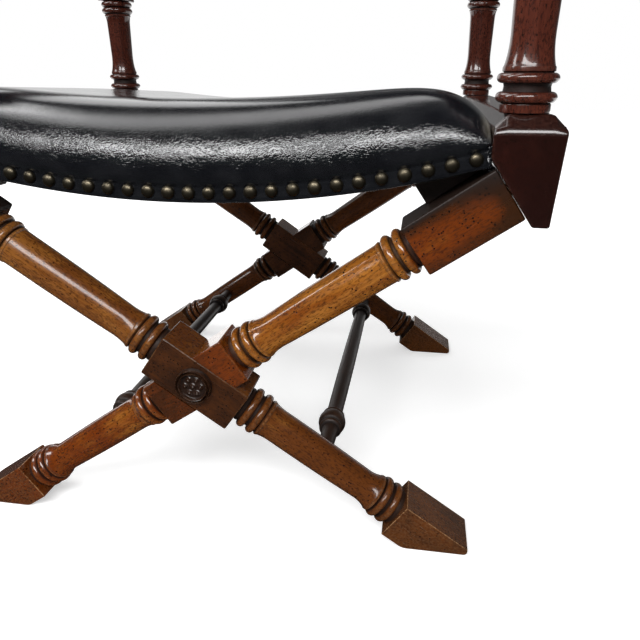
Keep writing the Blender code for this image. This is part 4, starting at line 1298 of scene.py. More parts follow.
@dataclass
class Posts:
    """The four turned posts that stand on the rails."""

    finishes: Finishes
    arm_rise: float = 0.191
    block: float = 0.044
    block_low: float = 0.143
    block_edge: float = 0.0016
    block_tone: float = 0.2
    block_wear: float = 0.4
    rear_block_top: float = 0.215
    cap_drop: float = 0.019
    shaft_foot: float = 0.0172
    shaft_head: float = 0.0183
    crest: float = 0.0245
    ring_half: float = 0.0043
    ring_groove: float = 0.0196
    ring_crest: float = 0.0243
    back_low: float = 0.243
    back_high: float = 0.393
    finial_r: float = 0.0183
    finial_z: float = 0.4318
    top: float = 0.44495
    tone: float = 0.12

    def foot(self) -> Turning:
        """Return the drum, the two rings and the sweep up to the shaft.

        Returns:
            The outline, 0 at the rail.
        """
        # Grime darkens the drum at the rail and the grooves between the rings: dirt, with painted shade.
        made = Turning().run((HAIR, 0.0196, 0.0, 0.8), (0.0008, 0.0203), (0.0068, 0.0203),
                             (0.0078, 0.0196, 0.0, 0.9))
        made.bead(0.0124, 0.0043, 0.0192, self.crest, 14)
        made.run((0.0176, 0.0190, 0.0, 1.0), (0.0205, 0.0186, 0.0, 1.0), (0.0226, 0.0190, 0.0, 0.9))
        made.bead(0.0270, 0.0040, 0.0194, self.crest, 14)
        made.run((0.0316, 0.0198, 0.0, 0.7), (0.0320, 0.0208, 0.2, 0.2), (0.0352, 0.0207, 0.3),
                 (0.0360, 0.0200, 0.0, 0.3))
        return made.sweep(0.060, self.shaft_foot, 12, 2.4)

    def add_rings(self, made: Turning, *centres: float) -> Turning:
        """Add small rings to a turning.

        Args:
            made: the turning.
            centres: places of their crests.

        Returns:
            The same turning.
        """
        for centre in centres:
            made.bead(centre, self.ring_half, self.ring_groove, self.ring_crest, 10)
        return made

    def cap(self, start: float) -> Turning:
        """Return the fillet and the two small rings at the head of a shaft, from where the rings start."""
        made = Turning().run((start - 0.0042, 0.0196, 0.0, 0.2), (start - 0.0036, 0.0206, 0.3),
                             (start - 0.0012, 0.0206, 0.2), (start - 0.0006, 0.0194, 0.0, 0.7))
        return self.add_rings(made, start + 0.00465, start + 0.01405)

    def shaft(self, start: float, end: float, first: float, last: float) -> Turning:
        """Return a plain shaft between two places, with its radius at each."""
        shares = [k / 8 for k in range(9)]
        return Turning().run(*((start + (end - start) * s, first + (last - first) * s) for s in shares))

    def block_shell(self, low: float, high: float) -> Shell:
        """Return the square block that takes the armrest.

        Args:
            low: its lower end.
            high: its upper end.

        Returns:
            The shell.
        """
        half = self.block / 2
        bm = prism_bmesh(rectangle(-half, half, half), low, high, Axis.Z)
        planes = face_planes(bm)
        round_edges(bm, self.block_edge)
        shell = from_bmesh(bm, edge_marks(planes, lambda p: self.block_tone, self.block_wear))
        shell.grain = [Vector((p.z, p.x, p.y)) for p in shell.points]
        return shell

    def lower(self) -> Turning:
        """Return everything turned between the rail and the block.

        Returns:
            The outline, 0 at the rail.
        """
        start = self.block_low - self.cap_drop
        made = self.foot().joined(self.shaft(0.061, start - 0.016, self.shaft_foot, self.shaft_head))
        made.sweep(start - 0.0045, self.ring_groove, 6, 2.0)
        return made.joined(self.cap(start)).at(self.block_low + 0.001, self.ring_groove, 0.0, 1.0)

    def upper(self) -> Turning:
        """Return the rear post's turning above its block, with the finial.

        Returns:
            The outline, 0 at the rail.
        """
        made = Turning().run((self.rear_block_top - 0.001, 0.0190, 0.0, 1.0),
                             (self.rear_block_top + 0.005, 0.0194, 0.0, 0.4))
        self.add_rings(made, 0.22575, 0.23515)
        made = made.joined(self.shaft(self.back_low, self.back_high, self.shaft_head, self.shaft_head))
        self.add_rings(made, 0.40075, 0.41025)
        made.run((0.4158, 0.0150, 0.0, 0.8), (0.4180, 0.0112, 0.0, 0.9))
        reach = self.top - self.finial_z
        for k in range(1, 15):
            tilt = -math.pi / 2 * 0.62 + (math.pi / 2 * 1.62) * k / 14 * 0.985
            made.at(self.finial_z + reach * math.sin(tilt), self.finial_r * math.cos(tilt), 0.1)
        return made

    def build(self) -> None:
        """Build the four posts."""
        for side in Side:
            for end in End:
                post = self.lower().shell(lambda s: self.tone)
                high = self.arm_rise - HAIR if end is End.FRONT else self.rear_block_top
                post.add(self.block_shell(self.block_low, high))
                if end is End.REAR:
                    post.add(self.upper().shell(lambda s: self.tone))
                place = Matrix.Translation((side.value * POST_X, end.value * FRAME_Y, RAIL_TOP_Z))
                dress(post.moved(place), f"{end.word}_{side.word}_post", "turned", Slot.RAIL_WOOD,
                      self.finishes)


@dataclass
class Armrests:
    """The two paddle armrests."""

    finishes: Finishes
    z: float = 0.63981
    thick: float = 0.022
    rear_y: float = 0.2337
    nose_y: float = -0.235
    nose: float = 0.050
    rear_half: float = 0.021
    front_half: float = 0.032
    edge: float = 0.0072
    tone: float = 0.16

    def outline(self) -> Outline:
        """Return the plan of an armrest: a flank, the round nose and the other flank.

        Returns:
            Corners in X and Y.
        """
        flank = []
        for k in range(25):
            share = k / 24
            wide = self.rear_half + (self.front_half - self.rear_half) * 0.5 * (1 - math.cos(math.pi * share))
            flank.append((wide, self.rear_y + (self.nose_y - self.rear_y) * share))
        angles = [math.pi * k / 32 for k in range(1, 32)]
        nose = [(self.front_half * math.cos(a), self.nose_y - self.nose * math.sin(a)) for a in angles]
        return flank + nose + [(-x, y) for x, y in reversed(flank)]

    def build(self) -> None:
        """Build both armrests."""
        for side in Side:
            bm = prism_bmesh(self.outline(), 0.0, self.thick, Axis.Z)
            rims = [e for e in bm.edges if abs(e.verts[0].co.z - e.verts[1].co.z) < TOUCH]
            round_edges(bm, self.edge, 6, rims)
            shell = from_bmesh(bm, lambda p: (0.0, 0.0, self.tone))
            shell.grain = [Vector((p.y, p.x, p.z)) for p in shell.points]
            place = Matrix.Translation((side.value * POST_X, 0.0, self.z))
            dress(shell.moved(place), side.word + "_armrest", "shaped", Slot.RAIL_WOOD, self.finishes)


# Upholstery

# From the rim up, distances in and rises: the turned hem, the flat band that takes the nails and a groove
HEM_PROFILE = ((0.0005, 0.0004), (0.0001, 0.0011), (0.0000, 0.0024), (0.0000, 0.0040), (0.0001, 0.0058),
               (0.0003, 0.0095), (0.0008, 0.0128), (0.0018, 0.0146))
# How much of the rise stands at each step up the walls at a pad's ends
END_WALLS = (0.0, 0.35, 0.7, 0.9)
# How a cover behaves while it is stuffed
STUFFING = {"use_pressure": True, "quality": 6, "mass": 0.35, "tension_stiffness": 22.0,
            "compression_stiffness": 22.0, "shear_stiffness": 9.0, "bending_stiffness": 1.5,
            "air_damping": 2.0}
STUFFING_FRAMES = 18


@dataclass
class Pad:
    """A leather-covered pad whose rim is held to a frame and whose face is stuffed full.

    Its length runs along X. Its width is called across, and its rise stands off the frame.
    """

    half_x: float
    half_across: float
    edge: float
    end_edge: float
    lean: float = 2.2
    swell: float = 2.6
    bulge: float = 0.0058
    bulge_top: float = 0.86
    crown: float = 0.0015
    hem: float = 0.0098
    hem_roll: float = 1.0
    roll_start: float = 0.0160
    columns: int = 96
    held_columns: int = 6
    face_rows: int = 20
    top_rows: int = 9

    def full(self, share: float) -> float:
        """Return the pad's rise at its crown, for a share of its half length."""
        raise NotImplementedError

    def place(self, x: float, across: float, rise: float) -> Vector:
        """Return a point of the chair for a place on the pad."""
        raise NotImplementedError

    def section(self, share: float) -> Outline:
        """Return half the pad's section, from its hem to its middle.

        Args:
            share: share of the half length.

        Returns:
            Distances in from the rim, and rises.
        """
        height = self.full(share)
        edge = self.edge + (self.end_edge - self.edge) * share ** 2
        rows = [(self.hem, 0.0005), (self.hem * 0.55, -0.0001), (0.0026, 0.0)]
        rows += [(inward * self.hem_roll, rise) for inward, rise in HEM_PROFILE]
        start = math.asin((self.roll_start / height) ** (self.swell / 2))
        for k in range(self.face_rows + 1):
            angle = start + (math.pi / 2 - start) * (k / self.face_rows) ** 1.15
            inward = edge * (1 - math.cos(angle) ** (2 / self.lean))
            rise = height * math.sin(angle) ** (2 / self.swell)
            up = clamped((rise - self.roll_start) / (self.bulge_top * height - self.roll_start))
            rows.append((inward - self.bulge * math.sin(math.pi * up ** 0.7) ** 1.5, rise))
        for k in range(1, self.top_rows + 1):
            inner = k / self.top_rows
            rows.append((edge + (self.half_across - edge) * inner, height + self.crown * inner))
        return rows

    def shares(self) -> list[tuple[float, float]]:
        """Return the columns of the surface, which are closer together towards its ends.

        Returns:
            Shares of the half length, and how much of the rise stands there.
        """
        places = [2 * k / self.columns - 1 for k in range(self.columns + 1)]
        spread = [(math.copysign(1 - (1 - abs(p)) ** 1.45, p), 1.0) for p in places]
        return [(-1.0, wall) for wall in END_WALLS] + spread + [(1.0, wall) for wall in reversed(END_WALLS)]

    def marks_at(self, share: float, wall: float, rise: float, height: float) -> Mark:
        """Return the leather's marks: paler along its upper end edges and creased on the roll.

        Args:
            share: share of the half length.
            wall: how much of the rise stands there.
            rise: rise in the section.
            height: rise at the crown.

        Returns:
            How pale it is at the end edges and how creased it is, and 0.
        """
        up = rise / height
        pale_edge = ramp(abs(share), (0.968, 0.990), (0.0, 1.0)) if wall > 0.8 else 0.0
        creased = ramp(rise, (0.0165, 0.0240), (0.03, 1.0)) * ramp(up, (0.55, 0.68), (1.0, 0.08))
        return pale_edge * ramp(up, (0.55, 0.85), (0.0, 1.0)), creased, 0.0

    def surface(self) -> tuple[Shell, set[int]]:
        """Return the cover's surface before it is stuffed.

        Returns:
            The shell, and its points near the ends.
        """
        made = Shell()
        shares = self.shares()
        sections = [self.section(share) for share, _ in shares]
        middle = sections[len(sections) // 2]
        order = [(1.0, r) for r in range(len(middle))] + [(-1.0, r) for r in reversed(range(len(middle) - 1))]
        travel = 0.0
        for index, (sign, row) in enumerate(order):
            if index:
                travel += math.dist(middle[order[index - 1][1]], middle[row])
            for (share, wall), section in zip(shares, sections):
                inward, rise = section[row]
                height = section[-1][1]
                point = self.place(share * self.half_x, -sign * (self.half_across - inward), rise * wall)
                grain = Vector((share * (self.half_x + (1 - wall) * height), travel, 0.0))
                made.put(point, grain, self.marks_at(share, wall, rise, height))
        columns = len(shares)
        made.grid(len(order), columns)
        inner = range(self.held_columns, columns - self.held_columns)
        return made, {i for i in range(len(made.points)) if i % columns not in inner}


def stuff(made: Object, held: Sequence[int], pressure: float, cap: float) -> None:
    """Let a cover fill out under pressure from inside, held at some points, and keep the result.

    Args:
        made: the cover.
        held: points that stay where they are.
        pressure: the pressure inside.
        cap: the furthest that a point may move.
    """
    before = np.array([v.co[:] for v in made.data.vertices])
    group = made.vertex_groups.new(name="held")
    group.add(list(held), 1.0, 'REPLACE')
    cloth = made.modifiers.new("stuffing", 'CLOTH')
    cloth.settings.vertex_group_mass = group.name
    cloth.settings.uniform_pressure_force = pressure
    cloth.settings.effector_weights.gravity = 0.0
    for key, value in STUFFING.items():
        setattr(cloth.settings, key, value)
    cloth.collision_settings.use_collision = False
    cloth.point_cache.frame_start = 1
    cloth.point_cache.frame_end = STUFFING_FRAMES
    scene = bpy.context.scene
    for frame in range(1, STUFFING_FRAMES + 1):
        scene.frame_set(frame)
    graph = bpy.context.evaluated_depsgraph_get()
    settled = made.evaluated_get(graph).to_mesh()
    after = np.array([v.co[:] for v in settled.vertices])
    made.evaluated_get(graph).to_mesh_clear()
    move = after - before
    reach = np.linalg.norm(move, axis=1, keepdims=True)
    move *= np.minimum(1.0, cap / np.maximum(reach, 1e-9))
    made.modifiers.remove(cloth)
    made.vertex_groups.remove(group)
    made.data.vertices.foreach_set("co", (before + move).astype(np.float32).ravel())
    made.data.update()
    scene.frame_set(1)
    LOG.info("stuffed %s: moved %.1f mm at most", made.name, 1000 * float(np.abs(reach).max()))


def thicken(made: Object, thickness: float, levels: int = 0) -> None:
    """Give a cover its thickness inwards, and round it out first if asked.

    Args:
        made: the cover.
        thickness: how thick it is.
        levels: how often it is subdivided.
    """
    if levels:
        finer = made.modifiers.new("finer", 'SUBSURF')
        finer.levels = levels
        finer.render_levels = levels
    solid = made.modifiers.new("hide_thickness", 'SOLIDIFY')
    solid.thickness = thickness
    solid.offset = -1.0


@dataclass(frozen=True)
class Cover:
    """How a pad's leather cover is stuffed, and which solids it stands for."""

    name: str
    nodes: tuple[str, ...]
    seed: int
    pressure: float
    cap: float

    def build(self, shell: Shell, held: Sequence[int], leather: Material) -> None:
        """Build the cover.

        Args:
            shell: its surface before it is stuffed.
            held: the points that stay where they are.
            leather: its finish.
        """
        made = shell.to_object(self.name, leather, self.seed, Edges.SOFT)
        stuff(made, held, self.pressure, self.cap)
        thicken(made, LEATHER_THICK, 1)
        settle_piece(made, Slot.LEATHER, *self.nodes)


def along_curve(half: float, steps: int, at: Callable[[float], Vector]) -> list[tuple[Vector, float]]:
    """Return points along a curve, each with the length of the curve up to it.

    Args:
        half: half the curve's extent in X.
        steps: how many parts it is divided into.
        at: gives the curve's point at an X.

    Returns:
        Points and lengths.
    """
    points = [at(-half + 2 * half * i / steps) for i in range(steps + 1)]
    lengths = [0.0]
    for first, second in zip(points, points[1:]):
        lengths.append(lengths[-1] + (second - first).length)
    return list(zip(points, lengths))


@dataclass
class Nails:
    """Domed upholstery nails."""

    radius: float = 0.0061
    rise: float = 0.0039
    pitch: float = 0.0194
    rings: int = 7
    steps: int = 28
    shank: float = -0.25
    lip: float = 0.02
    lean: float = 0.10
    uneven: float = 0.04

    def spread(self, count: int) -> list[float]:
        """Return the places of a row's nails, about its middle."""
        return [(k - (count - 1) / 2) * self.pitch for k in range(count)]

    def head(self, place: Matrix, shake: random.Random) -> Shell:
        """Return one nail head.

        Args:
            place: its seat, with +Z outwards.
            shake: source of the small differences between nails.

        Returns:
            The shell.
        """
        tilt = Matrix.Rotation(shake.uniform(-self.lean, self.lean), 4, 'X')
        tilt = tilt @ Matrix.Rotation(shake.uniform(-self.lean, self.lean), 4, 'Y')
        size = self.radius * shake.uniform(1 - self.uneven, 1 + self.uneven)
        outline = [(1.0, self.shank), (1.0, self.lip)]
        for k in range(1, self.rings):
            angle = math.pi / 2 * k / self.rings
            outline.append((math.cos(angle) ** 0.9, self.lip + (1 - self.lip) * math.sin(angle)))
        outline.append((0.06, 1.0))
        made = Shell()
        for reach, height in outline:
            mark = (max(1.0 - reach * 1.1, 0.0), 1.0 if height < 0.1 else 0.0, 0.0)
            for j in range(self.steps):
                angle = 2 * math.pi * j / self.steps
                x, y = reach * size * math.cos(angle), reach * size * math.sin(angle)
                point = Vector((x, y, height * self.rise))
                made.put(point, point.copy(), mark)
        made.tube(len(outline), self.steps)
        return made.moved(place @ tilt)

    def row(self, name: str, places: Sequence[Matrix], brass: Material) -> None:
        """Build a row of nails as one piece.

        Args:
            name: where the row is.
            places: each nail's seat.
            brass: the finish.
        """
        shake = random.Random(hash_of(name + "_nails"))
        shell = Shell()
        for place in places:
            shell.add(self.head(place, shake))
        settle_piece(shell.to_object(name + "_nails", brass, 0, Edges.METAL), Slot.BRASS, name + "_nail_row")


@dataclass
class SeatPad(Pad):
    """The saddle seat's form."""

    half_x: float = 0.27265
    half_across: float = 0.279
    edge: float = 0.060
    end_edge: float = 0.046
    end_z: float = 0.40631
    sag: float = 0.037
    thick: float = 0.0910
    end_thick: float = 0.0730
    end_share: float = 0.48
    end_power: int = 11
    rear_fall: float = 0.28

    def low(self, x: float) -> float:
        """Return the height of the seat's lower edge."""
        return self.end_z - self.sag * (1 - (x / self.half_x) ** 2)

    def full(self, share: float) -> float:
        """Return the seat's rise at its crown, for a share of its half length."""
        crown = self.thick + (self.end_thick - self.thick) * share ** 2
        return crown * (self.end_share + (1 - self.end_share) * (1 - min(abs(share), 1.0) ** self.end_power))

    def place(self, x: float, across: float, rise: float) -> Vector:
        """Return a point of the chair for a place on the seat, which is fullest at the front."""
        fall = self.rear_fall * (1 + across / self.half_across) / 2
        return Vector((x, across, self.low(x) + rise - max(rise - self.roll_start, 0.0) * fall))


@dataclass
class Seat:
    """The seat: leather cover, nail rows, lining underneath and the wedge blocks that carry it."""

    finishes: Finishes
    pad: SeatPad = field(default_factory=SeatPad)
    nails: Nails = field(default_factory=Nails)
    cover: Cover = Cover("seat_cover", ("seat_leather", "seat_foam"), 0, pressure=3.2, cap=0.0045)
    held_rise: float = 0.0078
    nail_held_rise: float = 0.0125
    nail_held: float = 0.0035
    dent_from: float = 0.001
    dent_to: float = 0.016
    dent_high: float = 0.0042
    dent_wide: float = 0.005
    dent: float = 0.0006
    nail_dent: float = 0.0009
    nail_rise: float = 0.0095
    nail_sink: float = 0.0004
    nail_count: int = 28
    lining_half_x: float = 0.27035
    lining_half_y: float = 0.2687
    lining_rows: int = 40
    lining_columns: int = 48
    lining_lift: float = 0.0009
    lining_slack: float = 0.0022
    lining_thick: float = 0.0006
    block_length: float = 0.046
    block_setback: float = 0.034
    block_overhang: float = 0.025
    block_edge: float = 0.0012
    # Dark stain on the wedge blocks, partly painted shade under the seat.
    block_tone: float = 0.8
    block_wear: float = 0.2

    def build(self) -> None:
        """Build the seat's pieces."""
        self.build_cover()
        for end in End:
            self.build_nails(end)
        self.build_lining()
        for end in End:
            for side in Side:
                self.build_block(end, side)

    def build_cover(self) -> None:
        """Build the leather, drawn in at the nails and stuffed above them."""
        shell, ends = self.pad.surface()
        nails = np.array(self.nails.spread(self.nail_count))
        held = []
        for index, point in enumerate(shell.points):
            rise = point.z - self.pad.low(point.x)
            near = float(np.min(np.abs(nails - point.x)))
            nailed = rise < self.nail_held_rise and near < self.nail_held
            if rise < self.held_rise or index in ends or nailed:
                held.append(index)
            if self.dent_from < rise < self.dent_to:
                pull = bell(rise, self.nail_rise, self.dent_high)
                dent = self.dent + self.nail_dent * bell(near, 0.0, self.dent_wide)
                point.y -= math.copysign(pull * dent, point.y)
        self.cover.build(shell, held, self.finishes[Slot.LEATHER])

    def build_nails(self, end: End) -> None:
        """Build one nail row.

        Args:
            end: front or rear.
        """
        outward = Matrix.Rotation(-end.value * math.pi / 2, 4, 'X')
        y = end.value * (self.pad.half_across - self.nail_sink)
        places = [Matrix.Translation((x, y, self.pad.low(x) + self.nail_rise)) @ outward
                  for x in self.nails.spread(self.nail_count)]
        self.nails.row(f"seat_{end.word}", places, self.finishes[Slot.BRASS])

    def build_lining(self) -> None:
        """Build the lining cloth stretched under the seat's frame."""
        half_x, half_y = self.lining_half_x, self.lining_half_y
        stations = along_curve(half_x, self.lining_columns, lambda x: Vector((x, 0.0, self.pad.low(x))))
        made = Shell()
        for j in range(self.lining_rows + 1):
            y = -half_y + 2 * half_y * j / self.lining_rows
            for point, travel in stations:
                slack = (1 - (y / half_y) ** 2) * (1 - (point.x / half_x) ** 4)
                z = point.z + self.lining_lift - self.lining_slack * slack
                made.put(Vector((point.x, y, z)), Vector((travel, y, 0.0)))
        made.grid(self.lining_rows + 1, self.lining_columns + 1)
        cloth = made.to_object("seat_lining", self.finishes[Slot.BLACK_CLOTH], 0, Edges.SOFT)
        thicken(cloth, self.lining_thick)
        settle_piece(cloth, Slot.BLACK_CLOTH, "seat_dust_cover")

    def leg_top(self, x: float) -> float:
        """Return the height of a leg's upper face at an X."""
        return CROSSING_Z + x * math.tan(LEG_ANGLE) + (LEG_STOCK / 2 + HAIR) / math.cos(LEG_ANGLE)

    def build_block(self, end: End, side: Side) -> None:
        """Build one wedge block between a leg and the seat.

        Args:
            end: front or rear.
            side: left or right.
        """
        cos, sin = math.cos(LEG_ANGLE), math.sin(LEG_ANGLE)
        outer = self.lining_half_x
        inner = outer - self.block_length
        # The inner face stands square on the leg, so where it meets the seat is found step by step.
        rise = 0.0
        for _ in range(8):
            rise = (self.pad.low(inner - rise * sin) - 2 * HAIR - self.leg_top(inner)) / cos
        corner = inner - rise * sin
        xs = [corner + (outer - corner) * k / 6 for k in range(7)]
        corners = [(x, self.pad.low(x) - 2 * HAIR) for x in xs]
        corners += [(x, self.leg_top(x)) for x in (outer, inner)]
        face = FRAME_Y + LEG_STOCK / 2
        ys = sorted((end.value * (face - self.block_setback),
                     end.value * (face - LEG_STOCK - self.block_overhang)))
        bm = prism_bmesh([(side.value * x, z) for x, z in corners], *ys)
        planes = face_planes(bm)
        round_edges(bm, self.block_edge, 2)
        shell = from_bmesh(bm, edge_marks(planes, lambda p: self.block_tone, self.block_wear))
        dress(shell, f"{end.word}_{side.word}_seat_block", "wedge", Slot.DARK_WOOD, self.finishes)


@dataclass
class BackPad(Pad):
    """The bowed back's form."""

    half_x: float = 0.27965
    half_across: float = 0.072
    edge: float = 0.030
    end_edge: float = 0.030
    hem: float = 0.004
    hem_roll: float = 0.5
    bulge: float = 0.0015
    columns: int = 90
    face_rows: int = 16
    top_rows: int = 7
    mid_z: float = 0.76681
    end_y: float = 0.250
    bow: float = 0.022
    board: float = 0.018
    thick: float = 0.046
    end_share: float = 0.62
    end_power: int = 14

    def rear(self, x: float) -> float:
        """Return the Y of the back's rear face."""
        return self.end_y + self.bow * (1 - (x / self.half_x) ** 2) + self.board / 2

    def full(self, share: float) -> float:
        """Return the back's rise at its crown, for a share of its half length."""
        fall = math.sqrt(max(1 - min(abs(share), 1.0) ** self.end_power, 0.0))
        return self.thick * (self.end_share + (1 - self.end_share) * fall)

    def place(self, x: float, across: float, rise: float) -> Vector:
        """Return a point of the chair for a place on the back."""
        return Vector((x, self.rear(x) - rise, self.mid_z - across))


@dataclass
class Back:
    """The padded back between the rear posts, with its outside panel, nails and bolts."""

    finishes: Finishes
    pad: BackPad = field(default_factory=BackPad)
    nails: Nails = field(default_factory=Nails)
    cover: Cover = Cover("back_cover", ("back_leather", "back_foam"), 5, pressure=3.0, cap=0.004)
    held_rise: float = 0.008
    panel_rows: int = 28
    panel_columns: int = 72
    panel_inset_x: float = 0.0008
    panel_inset_z: float = 0.0006
    panel_lift: float = 0.0023
    panel_turn: float = 0.003
    panel_tuck: float = 0.0012
    panel_thick: float = 0.0012
    panel_crease: float = 0.35
    panel_seed: int = 9
    nail_inset: float = 0.020
    nail_lift: float = 0.0024
    nail_count: int = 7
    bolt_x: float = 0.31695
    bolt_y: float = 0.253
    bolt_inset: float = 0.036
    bolt_r: float = 0.0065
    bolt_h: float = 0.0038
    bolt_rim: float = 0.0014
    bolt_length: float = 0.058
    shank_r: float = 0.0029
    bolt_steps: int = 32

    def build(self) -> None:
        """Build the back's pieces."""
        self.build_cover()
        self.build_panel()
        for side in Side:
            self.build_nails(side)
            for level, sign in (("lower", -1), ("upper", 1)):
                self.build_bolt(level, sign, side)

    def build_cover(self) -> None:
        """Build the padded leather face."""
        shell, ends = self.pad.surface()
        held = [index for index, point in enumerate(shell.points)
                if index in ends or self.pad.rear(point.x) - point.y < self.held_rise]
        self.cover.build(shell, held, self.finishes[Slot.LEATHER])

    def build_panel(self) -> None:
        """Build the leather panel stretched over the outside of the back, its rim turned in."""
        half_x, half_z = self.pad.half_x - self.panel_inset_x, self.pad.half_across - self.panel_inset_z
        stations = along_curve(half_x, self.panel_columns, lambda x: Vector((x, self.pad.rear(x), 0.0)))
        made = Shell()
        for j in range(self.panel_rows + 1):
            up = (-1 + 2 * j / self.panel_rows) * half_z
            for point, travel in stations:
                past = max(abs(up) - half_z, abs(point.x) - half_x) + self.panel_turn
                y = point.y + self.panel_lift - self.panel_tuck * (max(past, 0.0) / self.panel_turn) ** 2
                made.put(Vector((point.x, y, self.pad.mid_z + up)), Vector((travel, up, 0.0)),
                         (0.0, self.panel_crease, 0.0))
        made.grid(self.panel_rows + 1, self.panel_columns + 1)
        panel = made.to_object("back_panel", self.finishes[Slot.LEATHER], self.panel_seed, Edges.SOFT)
        thicken(panel, self.panel_thick)
        settle_piece(panel, Slot.LEATHER, "back_outside_panel")

    def build_nails(self, side: Side) -> None:
        """Build one upright nail row on the outside of the back.

        Args:
            side: left or right.
        """
        x = side.value * (self.pad.half_x - self.nail_inset)
        slope = math.atan(-2 * self.pad.bow * x / self.pad.half_x ** 2)
        face = Matrix.Rotation(slope, 4, 'Z') @ Matrix.Rotation(-math.pi / 2, 4, 'X')
        y = self.pad.rear(x) + self.nail_lift
        places = [Matrix.Translation((x, y, self.pad.mid_z + up)) @ face
                  for up in self.nails.spread(self.nail_count)]
        self.nails.row(f"back_{side.word}", places, self.finishes[Slot.BRASS])

    def build_bolt(self, level: str, sign: int, side: Side) -> None:
        """Build the domed head of one bolt through a rear post, on its shank.

        Args:
            level: "lower" or "upper".
            sign: -1 below the middle, 1 above.
            side: left or right.
        """
        turning = Turning().run((-self.bolt_length, self.shank_r), (0.0, self.shank_r, 0.0, 0.6),
                                (0.0001, self.bolt_r * 0.96, 0.0, 0.6), (0.0006, self.bolt_r, 0.2),
                                (self.bolt_rim, self.bolt_r, 0.2))
        for k in range(1, 8):
            angle = math.pi / 2 * k / 8
            along = self.bolt_rim + (self.bolt_h - self.bolt_rim) * math.sin(angle)
            turning.at(along, self.bolt_r * math.cos(angle), 0.6)
        z = self.pad.mid_z + sign * (self.pad.half_across - self.bolt_inset)
        place = Matrix.Translation((side.value * self.bolt_x, self.bolt_y, z))
        place = place @ Matrix.Rotation(side.value * math.pi / 2, 4, 'Y')
        node = f"{level}_{side.word}_back_bolt"
        shell = turning.shell(lambda s: 0.0, Axis.Z, self.bolt_steps).moved(place)
        made = shell.to_object(node + "_domed", self.finishes[Slot.BRASS], 0, Edges.METAL)
        settle_piece(made, Slot.BRASS, node)


# Studio

@dataclass(frozen=True)
class Lamp:
    """A soft box: where it stands and aims, its roll in degrees, its size and its power."""

    name: str
    at: Place
    aim: Place
    roll: float
    wide: float
    high: float
    power: float

    def build(self) -> None:
        """Build the lamp."""
        data = bpy.data.lights.new(self.name, 'AREA')
        data.shape = 'RECTANGLE'
        data.size = self.wide
        data.size_y = self.high
        data.energy = self.power
        light = linked(self.name, data)
        light.location = self.at
        turned = (Vector(self.aim) - Vector(self.at)).to_track_quat('-Z', 'Y').to_matrix()
        light.rotation_euler = (turned @ Matrix.Rotation(math.radians(self.roll), 3, 'Z')).to_euler()


LAMPS = (Lamp("key", (-0.07, -1.62, 1.53), (0.15, -0.25, 0.40), roll=10.0, wide=2.0, high=0.55, power=43.0),
         Lamp("overhead", (-0.38, -0.15, 2.20), (-0.38, -0.15, 0.40), roll=42.0, wide=2.0, high=0.4,
              power=7.5),
         Lamp("left_fill", (-1.47, -0.34, 1.64), (0.15, -0.26, 0.30), roll=0.0, wide=0.46, high=1.4,
              power=18.0),
         Lamp("window", (-1.15, 1.08, 2.22), (0.0, -0.10, 0.45), roll=0.0, wide=1.2, high=1.1, power=13.0))


